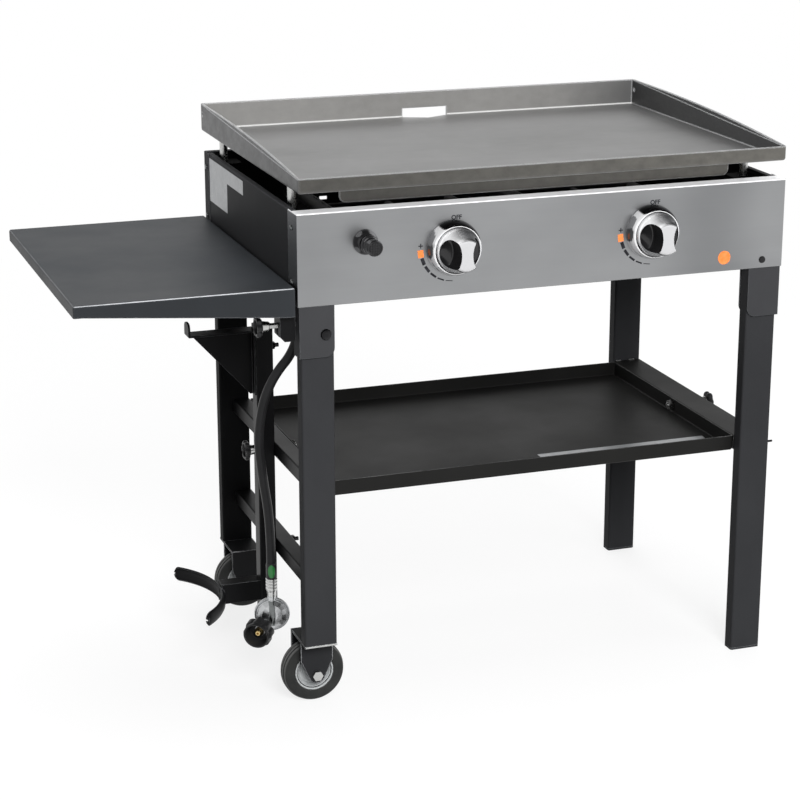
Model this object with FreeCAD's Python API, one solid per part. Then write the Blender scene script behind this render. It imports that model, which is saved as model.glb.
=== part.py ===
import FreeCAD, Part
import math
import os
from FreeCAD import Vector

# Outdoor gas griddle station, millimetres.
# Working frame: X = 0 at the middle of the control panel, Y = 0 on its front face, Z = 0 on the floor.
# Every piece is moved to the row's frame (middle of the overall box, on the floor) when it is written.

# Fire box and control panel
panel_width = 711.0
panel_height = 125.0
box_depth = 480.0
box_clearance = 580.0
panel_sheet = 1.0
side_sheet = 1.2
sheet_bend = 1.6
front_return = 40.0
rear_return = 25.0
top_return = 25.0
bottom_return = 12.0
rear_top_return = 12.0
side_top_flange = 8.0
side_bottom_flange = 11.0
vent_count = 6
vent_pitch = 114.0
vent_length = 12.0
vent_height = 5.0
vent_level = 41.0

# Cooking plate
plate_width = 707.0
plate_depth = 504.0
plate_front = -2.0
plate_steel = 3.0
plate_underside = 151.0
lip_height = 20.0
rear_wall_height = 41.0
plate_bend = 4.0
grease_slot_width = 72.0
grease_slot_height = 16.0
grease_notch = 18.0
corner_hole_radius = 3.2
corner_hole_inset = 11.0
rib_length = 570.0
rib_drop = 23.0
rib_steel = 4.0
rib_inset = 40.0
peg_radius = 6.0
peg_pin_radius = 3.5
peg_pin_length = 26.0
peg_inset = 20.0
peg_front_y = 88.0
peg_rear_inset = 40.0
peg_seat = 115.0
seat_steel = 3.0
seat_reach = 40.0
seat_length = 44.0
seat_leg = 30.0
notch_gap = 0.5
hole_gap = 0.4

# Legs and the sleeves that carry them
leg_width = 46.0
leg_depth = 21.5
leg_wall = 1.6
leg_corner = 3.0
sleeve_sheet = 2.0
sleeve_gap = 0.5
sleeve_rise = 82.0
sleeve_drop = 70.0
sleeve_corner = 12.0
rear_sleeve_inset = 15.0
pivot_inset = 34.0
pivot_radius = 4.0
pivot_level_left = -39.0
pivot_level_right = 12.0
pivot_margin = 18.0
bolt_gap = 0.1
cap_plate = 3.0
cap_plug = 12.0
cap_plug_gap = 0.2

# Cross bars and bottom shelf
bar_height = 21.0
left_bar_width = 25.0
shelf_bar_drop = 253.0
lower_bar_drop = 400.0
shelf_sheet = 1.2
shelf_lip = 22.0
shelf_front = 26.0
shelf_depth = 410.0
shelf_corner = 3.0

# Gas bottle bar, hook and cradle
tank_bar_size = 25.0
tank_bar_wall = 1.8
tank_bar_corner = 2.5
tank_bar_front = 212.0
tank_bar_top = 498.0
tank_bar_bottom = 66.0
hook_steel = 3.0
hook_reach = 94.0
hook_width = 24.0
hook_tip = 17.0
hook_drop = 95.0
cradle_level = 104.0
cradle_arm_height = 30.0
cradle_arm_depth = 22.0
cradle_arm_reach = 60.0
cradle_radius = 127.0
cradle_band = 22.0
cradle_channel = 6.0
cradle_half_angle = 49.0

# Side shelf
side_shelf_width = 293.0
side_shelf_depth = 478.0
side_shelf_front = -2.0
side_shelf_gap = 3.0
side_shelf_level = 28.0
side_shelf_sheet = 1.2
side_shelf_flange = 39.0
side_shelf_outer_flange = 16.0
side_shelf_bend = 3.0
bracket_sheet = 2.0
bracket_reach = 21.5
bracket_depth = 28.0
bracket_front = 10.0
bracket_drop = 47.0
bracket_chamfer = 7.0
stud_drop = 27.0
stud_slot_gap = 0.3

# Star knobs and their studs
star_radius = 14.5
star_lobes = 6
star_thickness = 9.0
star_hub_radius = 7.5
star_hub_length = 9.0
stud_radius = 3.95
running_gap = 0.05
nut_across = 13.0
nut_length = 6.5
stud_overrun = 3.0
side_stud_show = 12.0

# Casters under the left legs
wheel_radius = 44.5
tyre_width = 26.0
rim_radius = 27.5
rim_bore = 22.0
wheel_web = 5.0
wheel_hub_radius = 9.0
tread_groove = 1.2
fork_steel = 3.0
fork_span = 50.0
fork_nose = 12.0
axle_radius = 4.0
bolt_head_across = 13.0
bolt_head_length = 5.5
caster_top = 98.0
caster_side_gap = 0.4

# Burner controls
knob_left_x = -139.0
knob_right_x = 151.0
control_level = 65.0
bezel_radius = 35.5
bezel_inner = 29.5
bezel_rise = 12.0
knob_radius = 27.5
knob_back = 7.0
knob_rim = 23.0
knob_front = 55.0
knob_tip_radius = 21.5
grip_waist = 16.0
grip_scoop_radius = 60.0
knob_push = 3.0
stem_radius = 4.0
stem_boss_radius = 8.0
valve_cap_front = 16.0
valve_cap_radius = 12.0
valve_barrel_radius = 10.0
valve_body_y = 50.0
valve_body_length = 26.0
valve_body_width = 24.0
collar_radius = 6.8
collar_length = 3.0
chamber_gap = 0.4

# Gas train
manifold_y = 62.0
manifold_level = 36.0
manifold_radius = 8.5
manifold_bore = 6.3
manifold_left = -333.5
manifold_overrun = 26.0
manifold_bend = 24.0
manifold_boss_radius = 9.5
manifold_boss_top = 50.0
saddle_half_width = 9.0
saddle_half_height = 13.0
inlet_hex = 19.0
inlet_length = 12.0
inlet_drop = 14.0

# Burners
burner_radius = 12.5
burner_wall = 1.2
burner_half_width = 95.0
burner_front = 110.0
burner_rear = 440.0
burner_mouth_y = 86.0
burner_mouth_radius = 16.0
burner_throat_radius = 8.5
burner_feed_radius = 10.0
burner_cross_radius = 11.0
port_count = 9
port_length = 22.0
port_width = 2.0
baffle_y = 82.0
baffle_top = 108.0
baffle_hole = 17.5
baffle_tab = 14.0
rail_front_y = 160.0
rail_rear_y = 400.0
rail_width = 20.0
rail_steel = 3.0

# Plug in the panel's lower corner
plug_inset = 31.5
plug_level = 12.0
plug_radius = 5.0

# Igniter
igniter_x = -262.0
igniter_level = 82.0
igniter_bezel_radius = 16.4
igniter_bezel_rise = 13.0
igniter_button_radius = 11.2
igniter_tip_radius = 10.4
igniter_stem_radius = 7.7
igniter_front = 43.0
igniter_body_radius = 11.0
igniter_body_length = 48.0
igniter_travel = 4.0
electrode_radius = 3.5
electrode_length = 30.0
spark_wire = 1.0

# Grease cup at the rear
cup_width = 116.0
cup_depth = 70.0
cup_height = 58.0
cup_sheet = 1.0
cup_rim = 8.0
cup_seat_level = 93.0
cup_gap = 2.5
cup_bracket_steel = 1.5
cup_bracket_drop = 34.0
cup_bracket_rise = 24.0
cup_ledge_height = 14.0
cup_ledge_short = 4.0

# Gas hose: section, and the points of its route, in the panel's frame, levels from the floor
hose_diameter = 13.0
hose_arc_share = 0.45
hose_route = (
    (-333.5, 62.0, 566.0),
    (-333.5, 62.0, 515.0),
    (-374.0, 88.0, 455.0),
    (-387.0, 98.0, 381.0),
    (-380.0, 100.0, 316.0),
    (-370.0, 101.0, 250.0),
    (-370.0, 101.0, 190.0),
)
label_radius = 7.6
label_length = 23.0
crimp_radius = 8.2
crimp_length = 27.0
crimp_neck = 6.6
regulator_radius = 25.0
regulator_flange = 4.0
regulator_dome = 7.0
regulator_back = 13.0
regulator_drop = 27.0
ridge_radius = 5.5
ridge_rise = 5.0
ridge_below = 12.0
coupling_neck_radius = 8.0
coupling_side = 17.6
coupling_front = 9.7
coupling_below = 14.8
coupling_neck = 14.0
coupling_length = 27.0
coupling_outer = 21.0
coupling_lobes = 8
coupling_lobe_depth = 2.0
coupling_collar = 7.0
coupling_cavity = 14.5
coupling_base = 9.0
nipple_radius = 5.2
nipple_setback = 9.0

# Places that follow from the sizes
half_width = panel_width / 2
peg_rear_y = box_depth - peg_rear_inset
box_top = box_clearance + panel_height
web_outer = half_width - panel_sheet
web_inner = web_outer - side_sheet
leg_outer = web_inner - sleeve_sheet - sleeve_gap
leg_inner = leg_outer - leg_width
front_sleeve_y = panel_sheet
sleeve_depth = 2 * (sleeve_sheet + sleeve_gap) + leg_depth
rear_sleeve_y = box_depth - rear_sleeve_inset - sleeve_depth
leg_offset = sleeve_sheet + sleeve_gap
pivot_x = leg_outer - pivot_inset
shelf_bar_top = box_clearance - shelf_bar_drop
lower_bar_top = box_clearance - lower_bar_drop
left_bar_outer = leg_inner + left_bar_width
tank_bar_outer = left_bar_outer + tank_bar_size
stud_level = shelf_bar_top - bar_height / 2
stud_y = tank_bar_front + tank_bar_size / 2
star_length = star_thickness + star_hub_length
plate_rear = plate_front + plate_depth
plate_bottom = box_clearance + plate_underside
control_z = box_clearance + control_level
igniter_z = box_clearance + igniter_level
baffle_rear = baffle_y + side_sheet
side_shelf_inner = half_width + side_shelf_gap
side_shelf_outer = side_shelf_inner + side_shelf_width
side_shelf_top = box_clearance + side_shelf_level
bracket_web = half_width + bracket_reach
side_stud_z = box_clearance - stud_drop
side_stud_ys = (
    bracket_front + bracket_depth / 2,
    rear_sleeve_y + sleeve_depth - bracket_front - bracket_depth / 2,
)
axle_z = wheel_radius
cup_rear = box_depth + cup_gap + cup_depth

# Overall box without the hose and regulator, which sets the row's origin
overall_left = -side_shelf_outer
overall_right = leg_outer + star_length
overall_front = -knob_front
overall_rear = cup_rear
row_shift = Vector(-(overall_left + overall_right) / 2, -(overall_front + overall_rear) / 2, 0)


# Shape helpers
def block(x0, x1, y0, y1, z0, z1):
    low = Vector(min(x0, x1), min(y0, y1), min(z0, z1))
    return Part.makeBox(abs(x1 - x0), abs(y1 - y0), abs(z1 - z0), low)


def rod(radius, start, end):
    span = end - start
    return Part.makeCylinder(radius, span.Length, start, span)


def prism(points, travel):
    ring = [Vector(*p) for p in points]
    return Part.Face(Part.makePolygon(ring + ring[:1])).extrude(travel)


def prism_x(points, x0, x1):
    return prism([(x0, y, z) for y, z in points], Vector(x1 - x0, 0, 0))


def prism_y(points, y0, y1):
    return prism([(x, y0, z) for x, z in points], Vector(0, y1 - y0, 0))


def turned(profile, centre, axis):
    # profile holds (radius, distance along the axis) pairs, taken round the axis through centre
    ring = [Vector(r, 0, d) for r, d in profile]
    solid = Part.Face(Part.makePolygon(ring + ring[:1])).revolve(Vector(), Vector(0, 0, 1), 360)
    solid.Placement = FreeCAD.Placement(centre, FreeCAD.Rotation(Vector(0, 0, 1), axis))
    return solid


def hexagon(across, start, end):
    span = end - start
    corner = across / math.sqrt(3)
    ring = [Vector(corner * math.cos(math.radians(60 * k)), corner * math.sin(math.radians(60 * k)), 0)
            for k in range(6)]
    solid = Part.Face(Part.makePolygon(ring + ring[:1])).extrude(Vector(0, 0, span.Length))
    solid.Placement = FreeCAD.Placement(start, FreeCAD.Rotation(Vector(0, 0, 1), span))
    return solid


def round_edges(shape, radius, pick):
    return shape.makeFillet(radius, [e for e in shape.Edges if pick(e)])


def runs_along(edge, axis):
    span = edge.Vertexes[-1].Point - edge.Vertexes[0].Point
    return span.Length > 0 and abs(abs(span.normalize().dot(axis)) - 1) < 1e-6


def lies_on(edge, axis, level):
    return all(abs(v.Point.dot(axis) - level) < 1e-6 for v in edge.Vertexes)


AXIS_X = Vector(1, 0, 0)
AXIS_Y = Vector(0, 1, 0)
AXIS_Z = Vector(0, 0, 1)


def lobed_solid(outer, depth, lobes, start, end):
    # A grip outline: round lobes joined by shallow hollows, as arcs through three points
    span = end - start
    step = math.pi / lobes

    def at(radius, angle):
        return Vector(radius * math.cos(angle), radius * math.sin(angle), 0)
    edges = []
    for k in range(lobes):
        mid = 2 * k * step
        a, b, c = mid - 0.6 * step, mid + 0.6 * step, mid + 1.4 * step
        joint = outer - 0.55 * depth
        edges.append(Part.Arc(at(joint, a), at(outer, mid), at(joint, b)).toShape())
        edges.append(Part.Arc(at(joint, b), at(outer - depth, mid + step), at(joint, c)).toShape())
    solid = Part.Face(Part.Wire(edges)).extrude(Vector(0, 0, span.Length))
    solid.Placement = FreeCAD.Placement(start, FreeCAD.Rotation(Vector(0, 0, 1), span))
    return solid


def rounded_path(points, share):
    # Straight runs joined by tangent arcs, each as large as its two runs allow
    pts = [Vector(*p) for p in points]
    edges, radii, length = [], [], 0.0
    here = pts[0]
    for before, corner, after in zip(pts, pts[1:], pts[2:]):
        a, b = corner - before, after - corner
        turn = a.getAngle(b)
        trim = share * min(a.Length, b.Length)
        radius = trim / math.tan(turn / 2)
        radii.append(radius)
        a.normalize()
        b.normalize()
        p, q = corner - a * trim, corner + b * trim
        inward = (b - a).normalize()
        middle = corner + inward * (radius / math.cos(turn / 2) - radius)
        edges.append(Part.LineSegment(here, p).toShape())
        edges.append(Part.Arc(p, middle, q).toShape())
        length += (p - here).Length + radius * turn
        here = q
    edges.append(Part.LineSegment(here, pts[-1]).toShape())
    length += (pts[-1] - here).Length
    return Part.Wire(edges), radii, length


def swept_rod(wire, radius):
    start = wire.Edges[0]
    first, second = start.Vertexes[0].Point, start.Vertexes[-1].Point
    circle = Part.Wire(Part.makeCircle(radius, first, second - first))
    return wire.makePipeShell([circle], True, True)


# Fire box sheets
def wrap_panel(face_y, inward, side_return, upper_return):
    back = face_y + inward * side_return
    shell = block(-half_width, half_width, face_y, back, box_clearance, box_top)
    shell = round_edges(shell, sheet_bend, lambda e: lies_on(e, AXIS_Y, face_y) or runs_along(e, AXIS_Y))
    beyond = back + inward
    shell = shell.cut(block(-web_outer, web_outer, face_y + inward * panel_sheet, beyond,
                            box_clearance + panel_sheet, box_top - panel_sheet))
    shell = shell.cut(block(-web_outer, web_outer, face_y + inward * upper_return, beyond,
                            box_top - 2 * panel_sheet, box_top + panel_sheet))
    shell = shell.cut(block(-web_outer, web_outer, face_y + inward * bottom_return, beyond,
                            box_clearance - panel_sheet, box_clearance + 2 * panel_sheet))
    return shell


def control_panel():
    panel = wrap_panel(0, 1, front_return, top_return)
    for x in (-1, 1):
        panel = panel.cut(block(x * web_outer, x * (leg_inner - sleeve_gap), panel_sheet, front_return + 1,
                                box_clearance - panel_sheet, box_clearance + 2 * panel_sheet))
    for x in (knob_left_x, knob_right_x):
        panel = panel.cut(rod(stem_boss_radius + 1.5, Vector(x, -1, control_z), Vector(x, 3, control_z)))
    hole = rod(igniter_button_radius + 0.6, Vector(igniter_x, -1, igniter_z), Vector(igniter_x, 3, igniter_z))
    return panel.cut(hole)


def rear_panel():
    panel = wrap_panel(box_depth, -1, rear_return, rear_top_return)
    for k in range(vent_count):
        x = (k - (vent_count - 1) / 2) * vent_pitch
        slot = block(x - vent_length / 2, x + vent_length / 2, box_depth - 2, box_depth + 1,
                     box_clearance + vent_level - vent_height / 2,
                     box_clearance + vent_level + vent_height / 2)
        panel = panel.cut(slot)
    return panel


def side_panel(side):
    top, low = box_top - panel_sheet, box_clearance + panel_sheet
    y0, y1 = panel_sheet, box_depth - panel_sheet
    sheet = block(side * web_outer, side * (web_outer - side_bottom_flange), y0, y1, low, top)
    sheet = round_edges(sheet, sheet_bend,
                        lambda e: runs_along(e, AXIS_Y) and lies_on(e, AXIS_X, side * web_outer))
    hollow = block(side * web_inner, 0, y0 - 1, y1 + 1, low + side_sheet, top - side_sheet)
    sheet = sheet.cut(hollow)
    sheet = sheet.cut(block(side * (web_outer - side_top_flange), 0, y0 - 1, y1 + 1, top - 2 * side_sheet,
                            top + 1))
    for y in (front_sleeve_y, rear_sleeve_y):
        notch = block(side * web_inner, 0, y - 1, y + sleeve_depth + 0.5, low - 1, low + 2 * side_sheet)
        sheet = sheet.cut(notch)
    return sheet


def heat_baffle():
    low = box_clearance + panel_sheet + side_sheet
    top = box_clearance + baffle_top
    sheet = block(-web_inner, web_inner, baffle_y, baffle_rear, low, top)
    for side in (-1, 1):
        tab = block(side * web_inner, side * (web_inner - side_sheet), baffle_y - baffle_tab, baffle_y, low,
                    top)
        sheet = sheet.fuse(tab)
    # The upper corners are notched round the plate seats
    under_seat = box_clearance + peg_seat - seat_leg - notch_gap
    for side in (-1, 1):
        sheet = sheet.cut(block(side * (web_inner + 1), side * (web_inner - seat_steel - notch_gap),
                                baffle_y - baffle_tab - 1, baffle_rear + 1, under_seat, top + 1))
    for x in (knob_left_x, knob_right_x):
        sheet = sheet.cut(rod(baffle_hole, Vector(x, baffle_y - 1, control_z),
                              Vector(x, baffle_rear + 1, control_z)))
    return sheet


def fire_pan():
    low = box_clearance + panel_sheet + side_sheet
    rear = rear_sleeve_y - 1
    pan = block(-web_inner, web_inner, baffle_rear, rear, low, low + 12)
    pan = round_edges(pan, 3, lambda e: runs_along(e, AXIS_X) and lies_on(e, AXIS_Z, low))
    return pan.cut(block(-web_inner - 1, web_inner + 1, baffle_rear + side_sheet, rear - side_sheet,
                         low + side_sheet, low + 13))


def plate_seats():
    seats = []
    level = box_clearance + peg_seat
    for side in (-1, 1):
        for y in (peg_front_y, peg_rear_y):
            y0, y1 = y - seat_length / 2, y + seat_length / 2
            tab = block(side * web_inner, side * (web_inner - seat_reach), y0, y1, level - seat_steel, level)
            tab = round_edges(tab, 8, lambda e: runs_along(e, AXIS_Z)
                              and lies_on(e, AXIS_X, side * (web_inner - seat_reach)))
            leg = block(side * web_inner, side * (web_inner - seat_steel), y0, y1, level - seat_leg, level)
            x = side * (half_width - peg_inset)
            hole = rod(peg_pin_radius + hole_gap, Vector(x, y, level - 5), Vector(x, y, level + 1))
            seats.append(tab.fuse(leg).cut(hole))
    return seats


# Cooking plate
def griddle_plate():
    x0, x1 = -plate_width / 2, plate_width / 2
    low, lip = plate_bottom, plate_bottom + lip_height
    high = plate_bottom + rear_wall_height
    outline = [(plate_front, low), (plate_rear, low), (plate_rear, high), (plate_front, lip)]
    tray = prism_x(outline, x0, x1)
    tray = round_edges(tray, plate_bend, lambda e: lies_on(e, AXIS_Z, low) or runs_along(e, AXIS_Z))
    well = block(x0 + plate_steel, x1 - plate_steel, plate_front + plate_steel, plate_rear - plate_steel,
                 low + plate_steel, high + 1)
    well = round_edges(well, plate_bend - plate_steel,
                       lambda e: lies_on(e, AXIS_Z, low + plate_steel) or runs_along(e, AXIS_Z))
    tray = tray.cut(well)
    half = grease_slot_width / 2
    slot = block(-half, half, plate_rear - plate_steel - 1, plate_rear + 1,
                 low + plate_steel, low + grease_slot_height)
    inner = plate_rear - plate_steel
    notch = prism([(-half, plate_rear + 1, low - 1), (half, plate_rear + 1, low - 1),
                   (half, inner - 2, low - 1),
                   (0, inner - grease_notch, low - 1), (-half, inner - 2, low - 1)],
                  Vector(0, 0, plate_steel + 2))
    hole_y = plate_rear - corner_hole_inset
    hole_z = high - corner_hole_inset - 4
    holes = rod(corner_hole_radius, Vector(x0 - 1, hole_y, hole_z), Vector(x1 + 1, hole_y, hole_z))
    return tray.cut(slot).cut(notch).cut(holes)


def plate_rib():
    y = plate_front + rib_inset
    half = rib_length / 2
    bar = block(-half, half, y, y + rib_steel, plate_bottom - rib_drop, plate_bottom)
    return round_edges(bar, 9,
                       lambda e: runs_along(e, AXIS_Y) and lies_on(e, AXIS_Z, plate_bottom - rib_drop))


def plate_pegs():
    pegs = []
    seat = box_clearance + peg_seat
    for side in (-1, 1):
        for y in (peg_front_y, peg_rear_y):
            tip = seat - peg_pin_length
            profile = [(0, tip), (peg_pin_radius - 1, tip), (peg_pin_radius, tip + 2), (peg_pin_radius, seat),
                       (peg_radius, seat), (peg_radius, plate_bottom), (0, plate_bottom)]
            pegs.append(turned(profile, Vector(side * (half_width - peg_inset), y, 0), AXIS_Z))
    return pegs


# Legs
def leg_sleeve(side, y0):
    outer, inner = side * web_inner, side * leg_inner
    y1 = y0 + sleeve_depth
    low, high = box_clearance - sleeve_drop, box_clearance + sleeve_rise
    channel = block(outer, inner, y0, y1, low, high)
    channel = round_edges(channel, sleeve_corner, lambda e: runs_along(e, AXIS_Y)
                          and lies_on(e, AXIS_X, inner) and lies_on(e, AXIS_Z, low))
    channel = channel.cut(block(outer - side * sleeve_sheet, inner - side, y0 + sleeve_sheet,
                                y1 - sleeve_sheet,
                                low - 1, high + 1))
    level = pivot_level(side)
    return channel.cut(rod(pivot_radius + bolt_gap, Vector(side * pivot_x, y0 - 1, level),
                           Vector(side * pivot_x, y1 + 1, level)))


def pivot_level(side):
    return box_clearance + (pivot_level_left if side < 0 else pivot_level_right)


def leg(side, sleeve_y):
    outer, inner = side * leg_outer, side * leg_inner
    y0 = sleeve_y + leg_offset
    y1 = y0 + leg_depth
    low = caster_top if side < 0 else cap_plate
    level = pivot_level(side)
    high = level + pivot_margin
    tube = block(outer, inner, y0, y1, low, high)
    tube = round_edges(tube, leg_corner, lambda e: runs_along(e, AXIS_Z))
    tube = tube.cut(block(outer - side * leg_wall, inner + side * leg_wall, y0 + leg_wall, y1 - leg_wall,
                          low - 1, high + 1))
    return tube.cut(rod(pivot_radius + bolt_gap, Vector(side * pivot_x, y0 - 1, level),
                        Vector(side * pivot_x, y1 + 1, level)))


def pivot_bolts():
    bolts = []
    for side in (-1, 1):
        for y0 in (front_sleeve_y, rear_sleeve_y):
            x, level = side * pivot_x, pivot_level(side)
            y1 = y0 + sleeve_depth
            shaft = rod(pivot_radius, Vector(x, y0, level), Vector(x, y1, level))
            front = y0 == front_sleeve_y
            nut = hexagon(bolt_head_across, Vector(x, y1, level), Vector(x, y1 + bolt_head_length, level))
            bolt = shaft.fuse(nut)
            if front and side < 0:
                dome = [(0, 0), (7.5, 0), (6.5, 3), (4, 4.4), (0, 4.8)]
                bolt = bolt.fuse(turned(dome, Vector(x, y0, level), Vector(0, -1, 0)))
            bolts.append(bolt)
    return bolts


def tube_cap(x0, x1, y0, y1, low, plug_up, wall, corner):
    # A plate over the tube's end, with a plug that fits inside it
    cap = round_edges(block(x0, x1, y0, y1, low, low + cap_plate), corner, lambda e: runs_along(e, AXIS_Z))
    inset = wall + cap_plug_gap
    face = low + cap_plate if plug_up > 0 else low
    return cap.fuse(block(x0 + inset, x1 - inset, y0 + inset, y1 - inset, face, face + plug_up * cap_plug))


def foot_caps():
    caps = []
    for y in (front_sleeve_y, rear_sleeve_y):
        y0 = y + leg_offset
        caps.append(tube_cap(leg_inner, leg_outer, y0, y0 + leg_depth, 0, 1, leg_wall, leg_corner))
    return caps


def leg_hook():
    z = stud_level
    y = front_sleeve_y + leg_offset + leg_depth / 2
    shank = rod(1.6, Vector(leg_outer, y, z), Vector(leg_outer + 11, y, z))
    return shank.fuse(rod(4.5, Vector(leg_outer, y, z), Vector(leg_outer + 1.5, y, z)))


# Cross bars and bottom shelf
def cross_bar(x0, x1, top):
    y0 = front_sleeve_y + leg_offset + leg_depth
    y1 = rear_sleeve_y + leg_offset
    bar = block(x0, x1, y0, y1, top - bar_height, top)
    bar = round_edges(bar, 2, lambda e: runs_along(e, AXIS_Y))
    return bar.cut(block(x0 + math.copysign(leg_wall, x1 - x0), x1 - math.copysign(leg_wall, x1 - x0),
                         y0 - 1, y1 + 1, top - bar_height + leg_wall, top - leg_wall))


def stud_hole(x0, x1):
    return rod(stud_radius + bolt_gap, Vector(x0, stud_y, stud_level), Vector(x1, stud_y, stud_level))


def bottom_shelf():
    low = shelf_bar_top - shelf_lip
    y1 = shelf_front + shelf_depth
    tray = block(-leg_inner, leg_inner, shelf_front, y1, low, shelf_bar_top)
    tray = round_edges(tray, shelf_corner, lambda e: runs_along(e, AXIS_Z) or lies_on(e, AXIS_Z, low))
    well = block(-leg_inner + shelf_sheet, leg_inner - shelf_sheet, shelf_front + shelf_sheet,
                 y1 - shelf_sheet,
                 low + shelf_sheet, shelf_bar_top + 1)
    well = round_edges(well, shelf_corner - shelf_sheet, lambda e: runs_along(e, AXIS_Z)
                       or lies_on(e, AXIS_Z, low + shelf_sheet))
    return tray.cut(well).cut(stud_hole(-leg_inner - 2, leg_inner + 2))


def weld_nut(face_x, toward, y, z):
    end = Vector(face_x + toward * nut_length, y, z)
    nut = hexagon(nut_across, Vector(face_x, y, z), end)
    return nut.cut(rod(stud_radius + running_gap, Vector(face_x - 1.5 * toward, y, z), end + AXIS_X * toward))


def shelf_nuts():
    inside = leg_inner - shelf_sheet
    return [weld_nut(side * inside, -side, stud_y, stud_level) for side in (-1, 1)]


# A star knob: a lobed grip on a plain hub, moulded round a stud that reaches inwards from the hub's face
def star_knob(face_x, outward, reach, y, z):
    hub_end = face_x + outward * star_hub_length
    hub = rod(star_hub_radius, Vector(face_x, y, z), Vector(hub_end, y, z))
    grip = lobed_solid(star_radius, 2.4, star_lobes, Vector(hub_end, y, z),
                       Vector(hub_end + outward * star_thickness, y, z))
    dish = rod(star_radius - 6, Vector(hub_end + outward * (star_thickness - 1.5), y, z),
               Vector(hub_end + outward * (star_thickness + 1), y, z))
    stud = rod(stud_radius, Vector(hub_end, y, z), Vector(face_x - outward * reach, y, z))
    return hub.fuse(grip).cut(dish).fuse(stud)


# Gas bottle bar
def tank_bar():
    x0, x1 = -tank_bar_outer, -left_bar_outer
    y0, y1 = tank_bar_front, tank_bar_front + tank_bar_size
    bar = block(x0, x1, y0, y1, tank_bar_bottom, tank_bar_top)
    bar = round_edges(bar, tank_bar_corner, lambda e: runs_along(e, AXIS_Z))
    bar = bar.cut(block(x0 + tank_bar_wall, x1 - tank_bar_wall, y0 + tank_bar_wall, y1 - tank_bar_wall,
                        tank_bar_bottom - 1, tank_bar_top + 1))
    return bar.cut(stud_hole(x0 - 1, x1 + 1))


def bar_caps():
    caps = []
    for low, plug_up in ((tank_bar_bottom - cap_plate, 1), (tank_bar_top, -1)):
        caps.append(tube_cap(-tank_bar_outer, -left_bar_outer, tank_bar_front, tank_bar_front + tank_bar_size,
                             low, plug_up, tank_bar_wall, tank_bar_corner))
    return caps


def tank_hook():
    root, tip = -tank_bar_outer, -tank_bar_outer - hook_reach
    mid = tank_bar_front + tank_bar_size / 2
    top = tank_bar_top - 2
    y0, y1 = mid - hook_width / 2, mid + hook_width / 2
    shelf = block(root, tip, y0, y1, top - hook_steel, top)
    toe = block(tip, tip - hook_steel, y0, y1, top - hook_steel, top + hook_tip)
    toe = round_edges(toe, 8, lambda e: runs_along(e, AXIS_X) and lies_on(e, AXIS_Z, top + hook_tip))
    toe = round_edges(toe, 1.5, lambda e: runs_along(e, AXIS_Y) and lies_on(e, AXIS_Z, top - hook_steel)
                      and lies_on(e, AXIS_X, tip - hook_steel))
    gusset = prism_y([(root, top - hook_steel), (tip + 4, top - hook_steel), (root - 7, top - hook_drop),
                      (root, top - hook_drop)], mid - hook_steel / 2, mid + hook_steel / 2)
    foot = block(root, root - hook_steel, y0, y1, top - hook_drop, top - hook_steel)
    return shelf.fuse(toe).fuse(gusset).fuse(foot)


def tank_cradle():
    root = -tank_bar_outer
    mid = tank_bar_front + tank_bar_size / 2
    low = cradle_level - cradle_arm_height / 2
    high = low + cradle_arm_height
    end = root - cradle_arm_reach
    arm = block(root, end, mid - cradle_arm_depth / 2, mid + cradle_arm_depth / 2, low, high)
    arm = arm.cut(block(root + 1, end + hook_steel, mid - cradle_arm_depth / 2 + hook_steel,
                        mid + cradle_arm_depth / 2 - hook_steel, low - 1, high - hook_steel))
    centre = Vector(end - cradle_radius, mid, low + (cradle_arm_height - cradle_band) / 2)
    # A channel bent round the bottle, open towards it
    outer = Part.makeCylinder(cradle_radius + cradle_channel, cradle_band, centre, AXIS_Z,
                              2 * cradle_half_angle)
    outer.rotate(centre, AXIS_Z, -cradle_half_angle)
    core = Part.makeCylinder(cradle_radius, cradle_band + 2, centre - AXIS_Z)
    groove = Part.makeCylinder(cradle_radius + cradle_channel - hook_steel, cradle_band - 2 * hook_steel,
                               centre + AXIS_Z * hook_steel)
    band = outer.cut(core).cut(groove)
    return arm.fuse(band).removeSplitter()


# Side shelf
def side_shelf():
    x0, x1 = -side_shelf_outer, -side_shelf_inner
    y0, y1 = side_shelf_front, side_shelf_front + side_shelf_depth
    top, low = side_shelf_top, side_shelf_top - side_shelf_flange
    shelf = block(x0, x1, y0, y1, low, top)
    shelf = round_edges(shelf, side_shelf_bend, lambda e: lies_on(e, AXIS_Z, top) or runs_along(e, AXIS_Z))
    t = side_shelf_sheet
    well = block(x0 + t, x1 - t, y0 + t, y1 - t, low - 1, top - t)
    well = round_edges(well, side_shelf_bend - t,
                       lambda e: lies_on(e, AXIS_Z, top - t) or runs_along(e, AXIS_Z))
    shelf = shelf.cut(well)
    outer_low = top - side_shelf_outer_flange
    run = side_shelf_width * 0.04
    wedge = prism_y([(x0 - 1, low - 1), (x0 - 1, outer_low), (x0 + run, outer_low), (x1 - run, low),
                     (x1 - run, low - 1)],
                    y0 - 1, y1 + 1)
    return shelf.cut(wedge)


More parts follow.
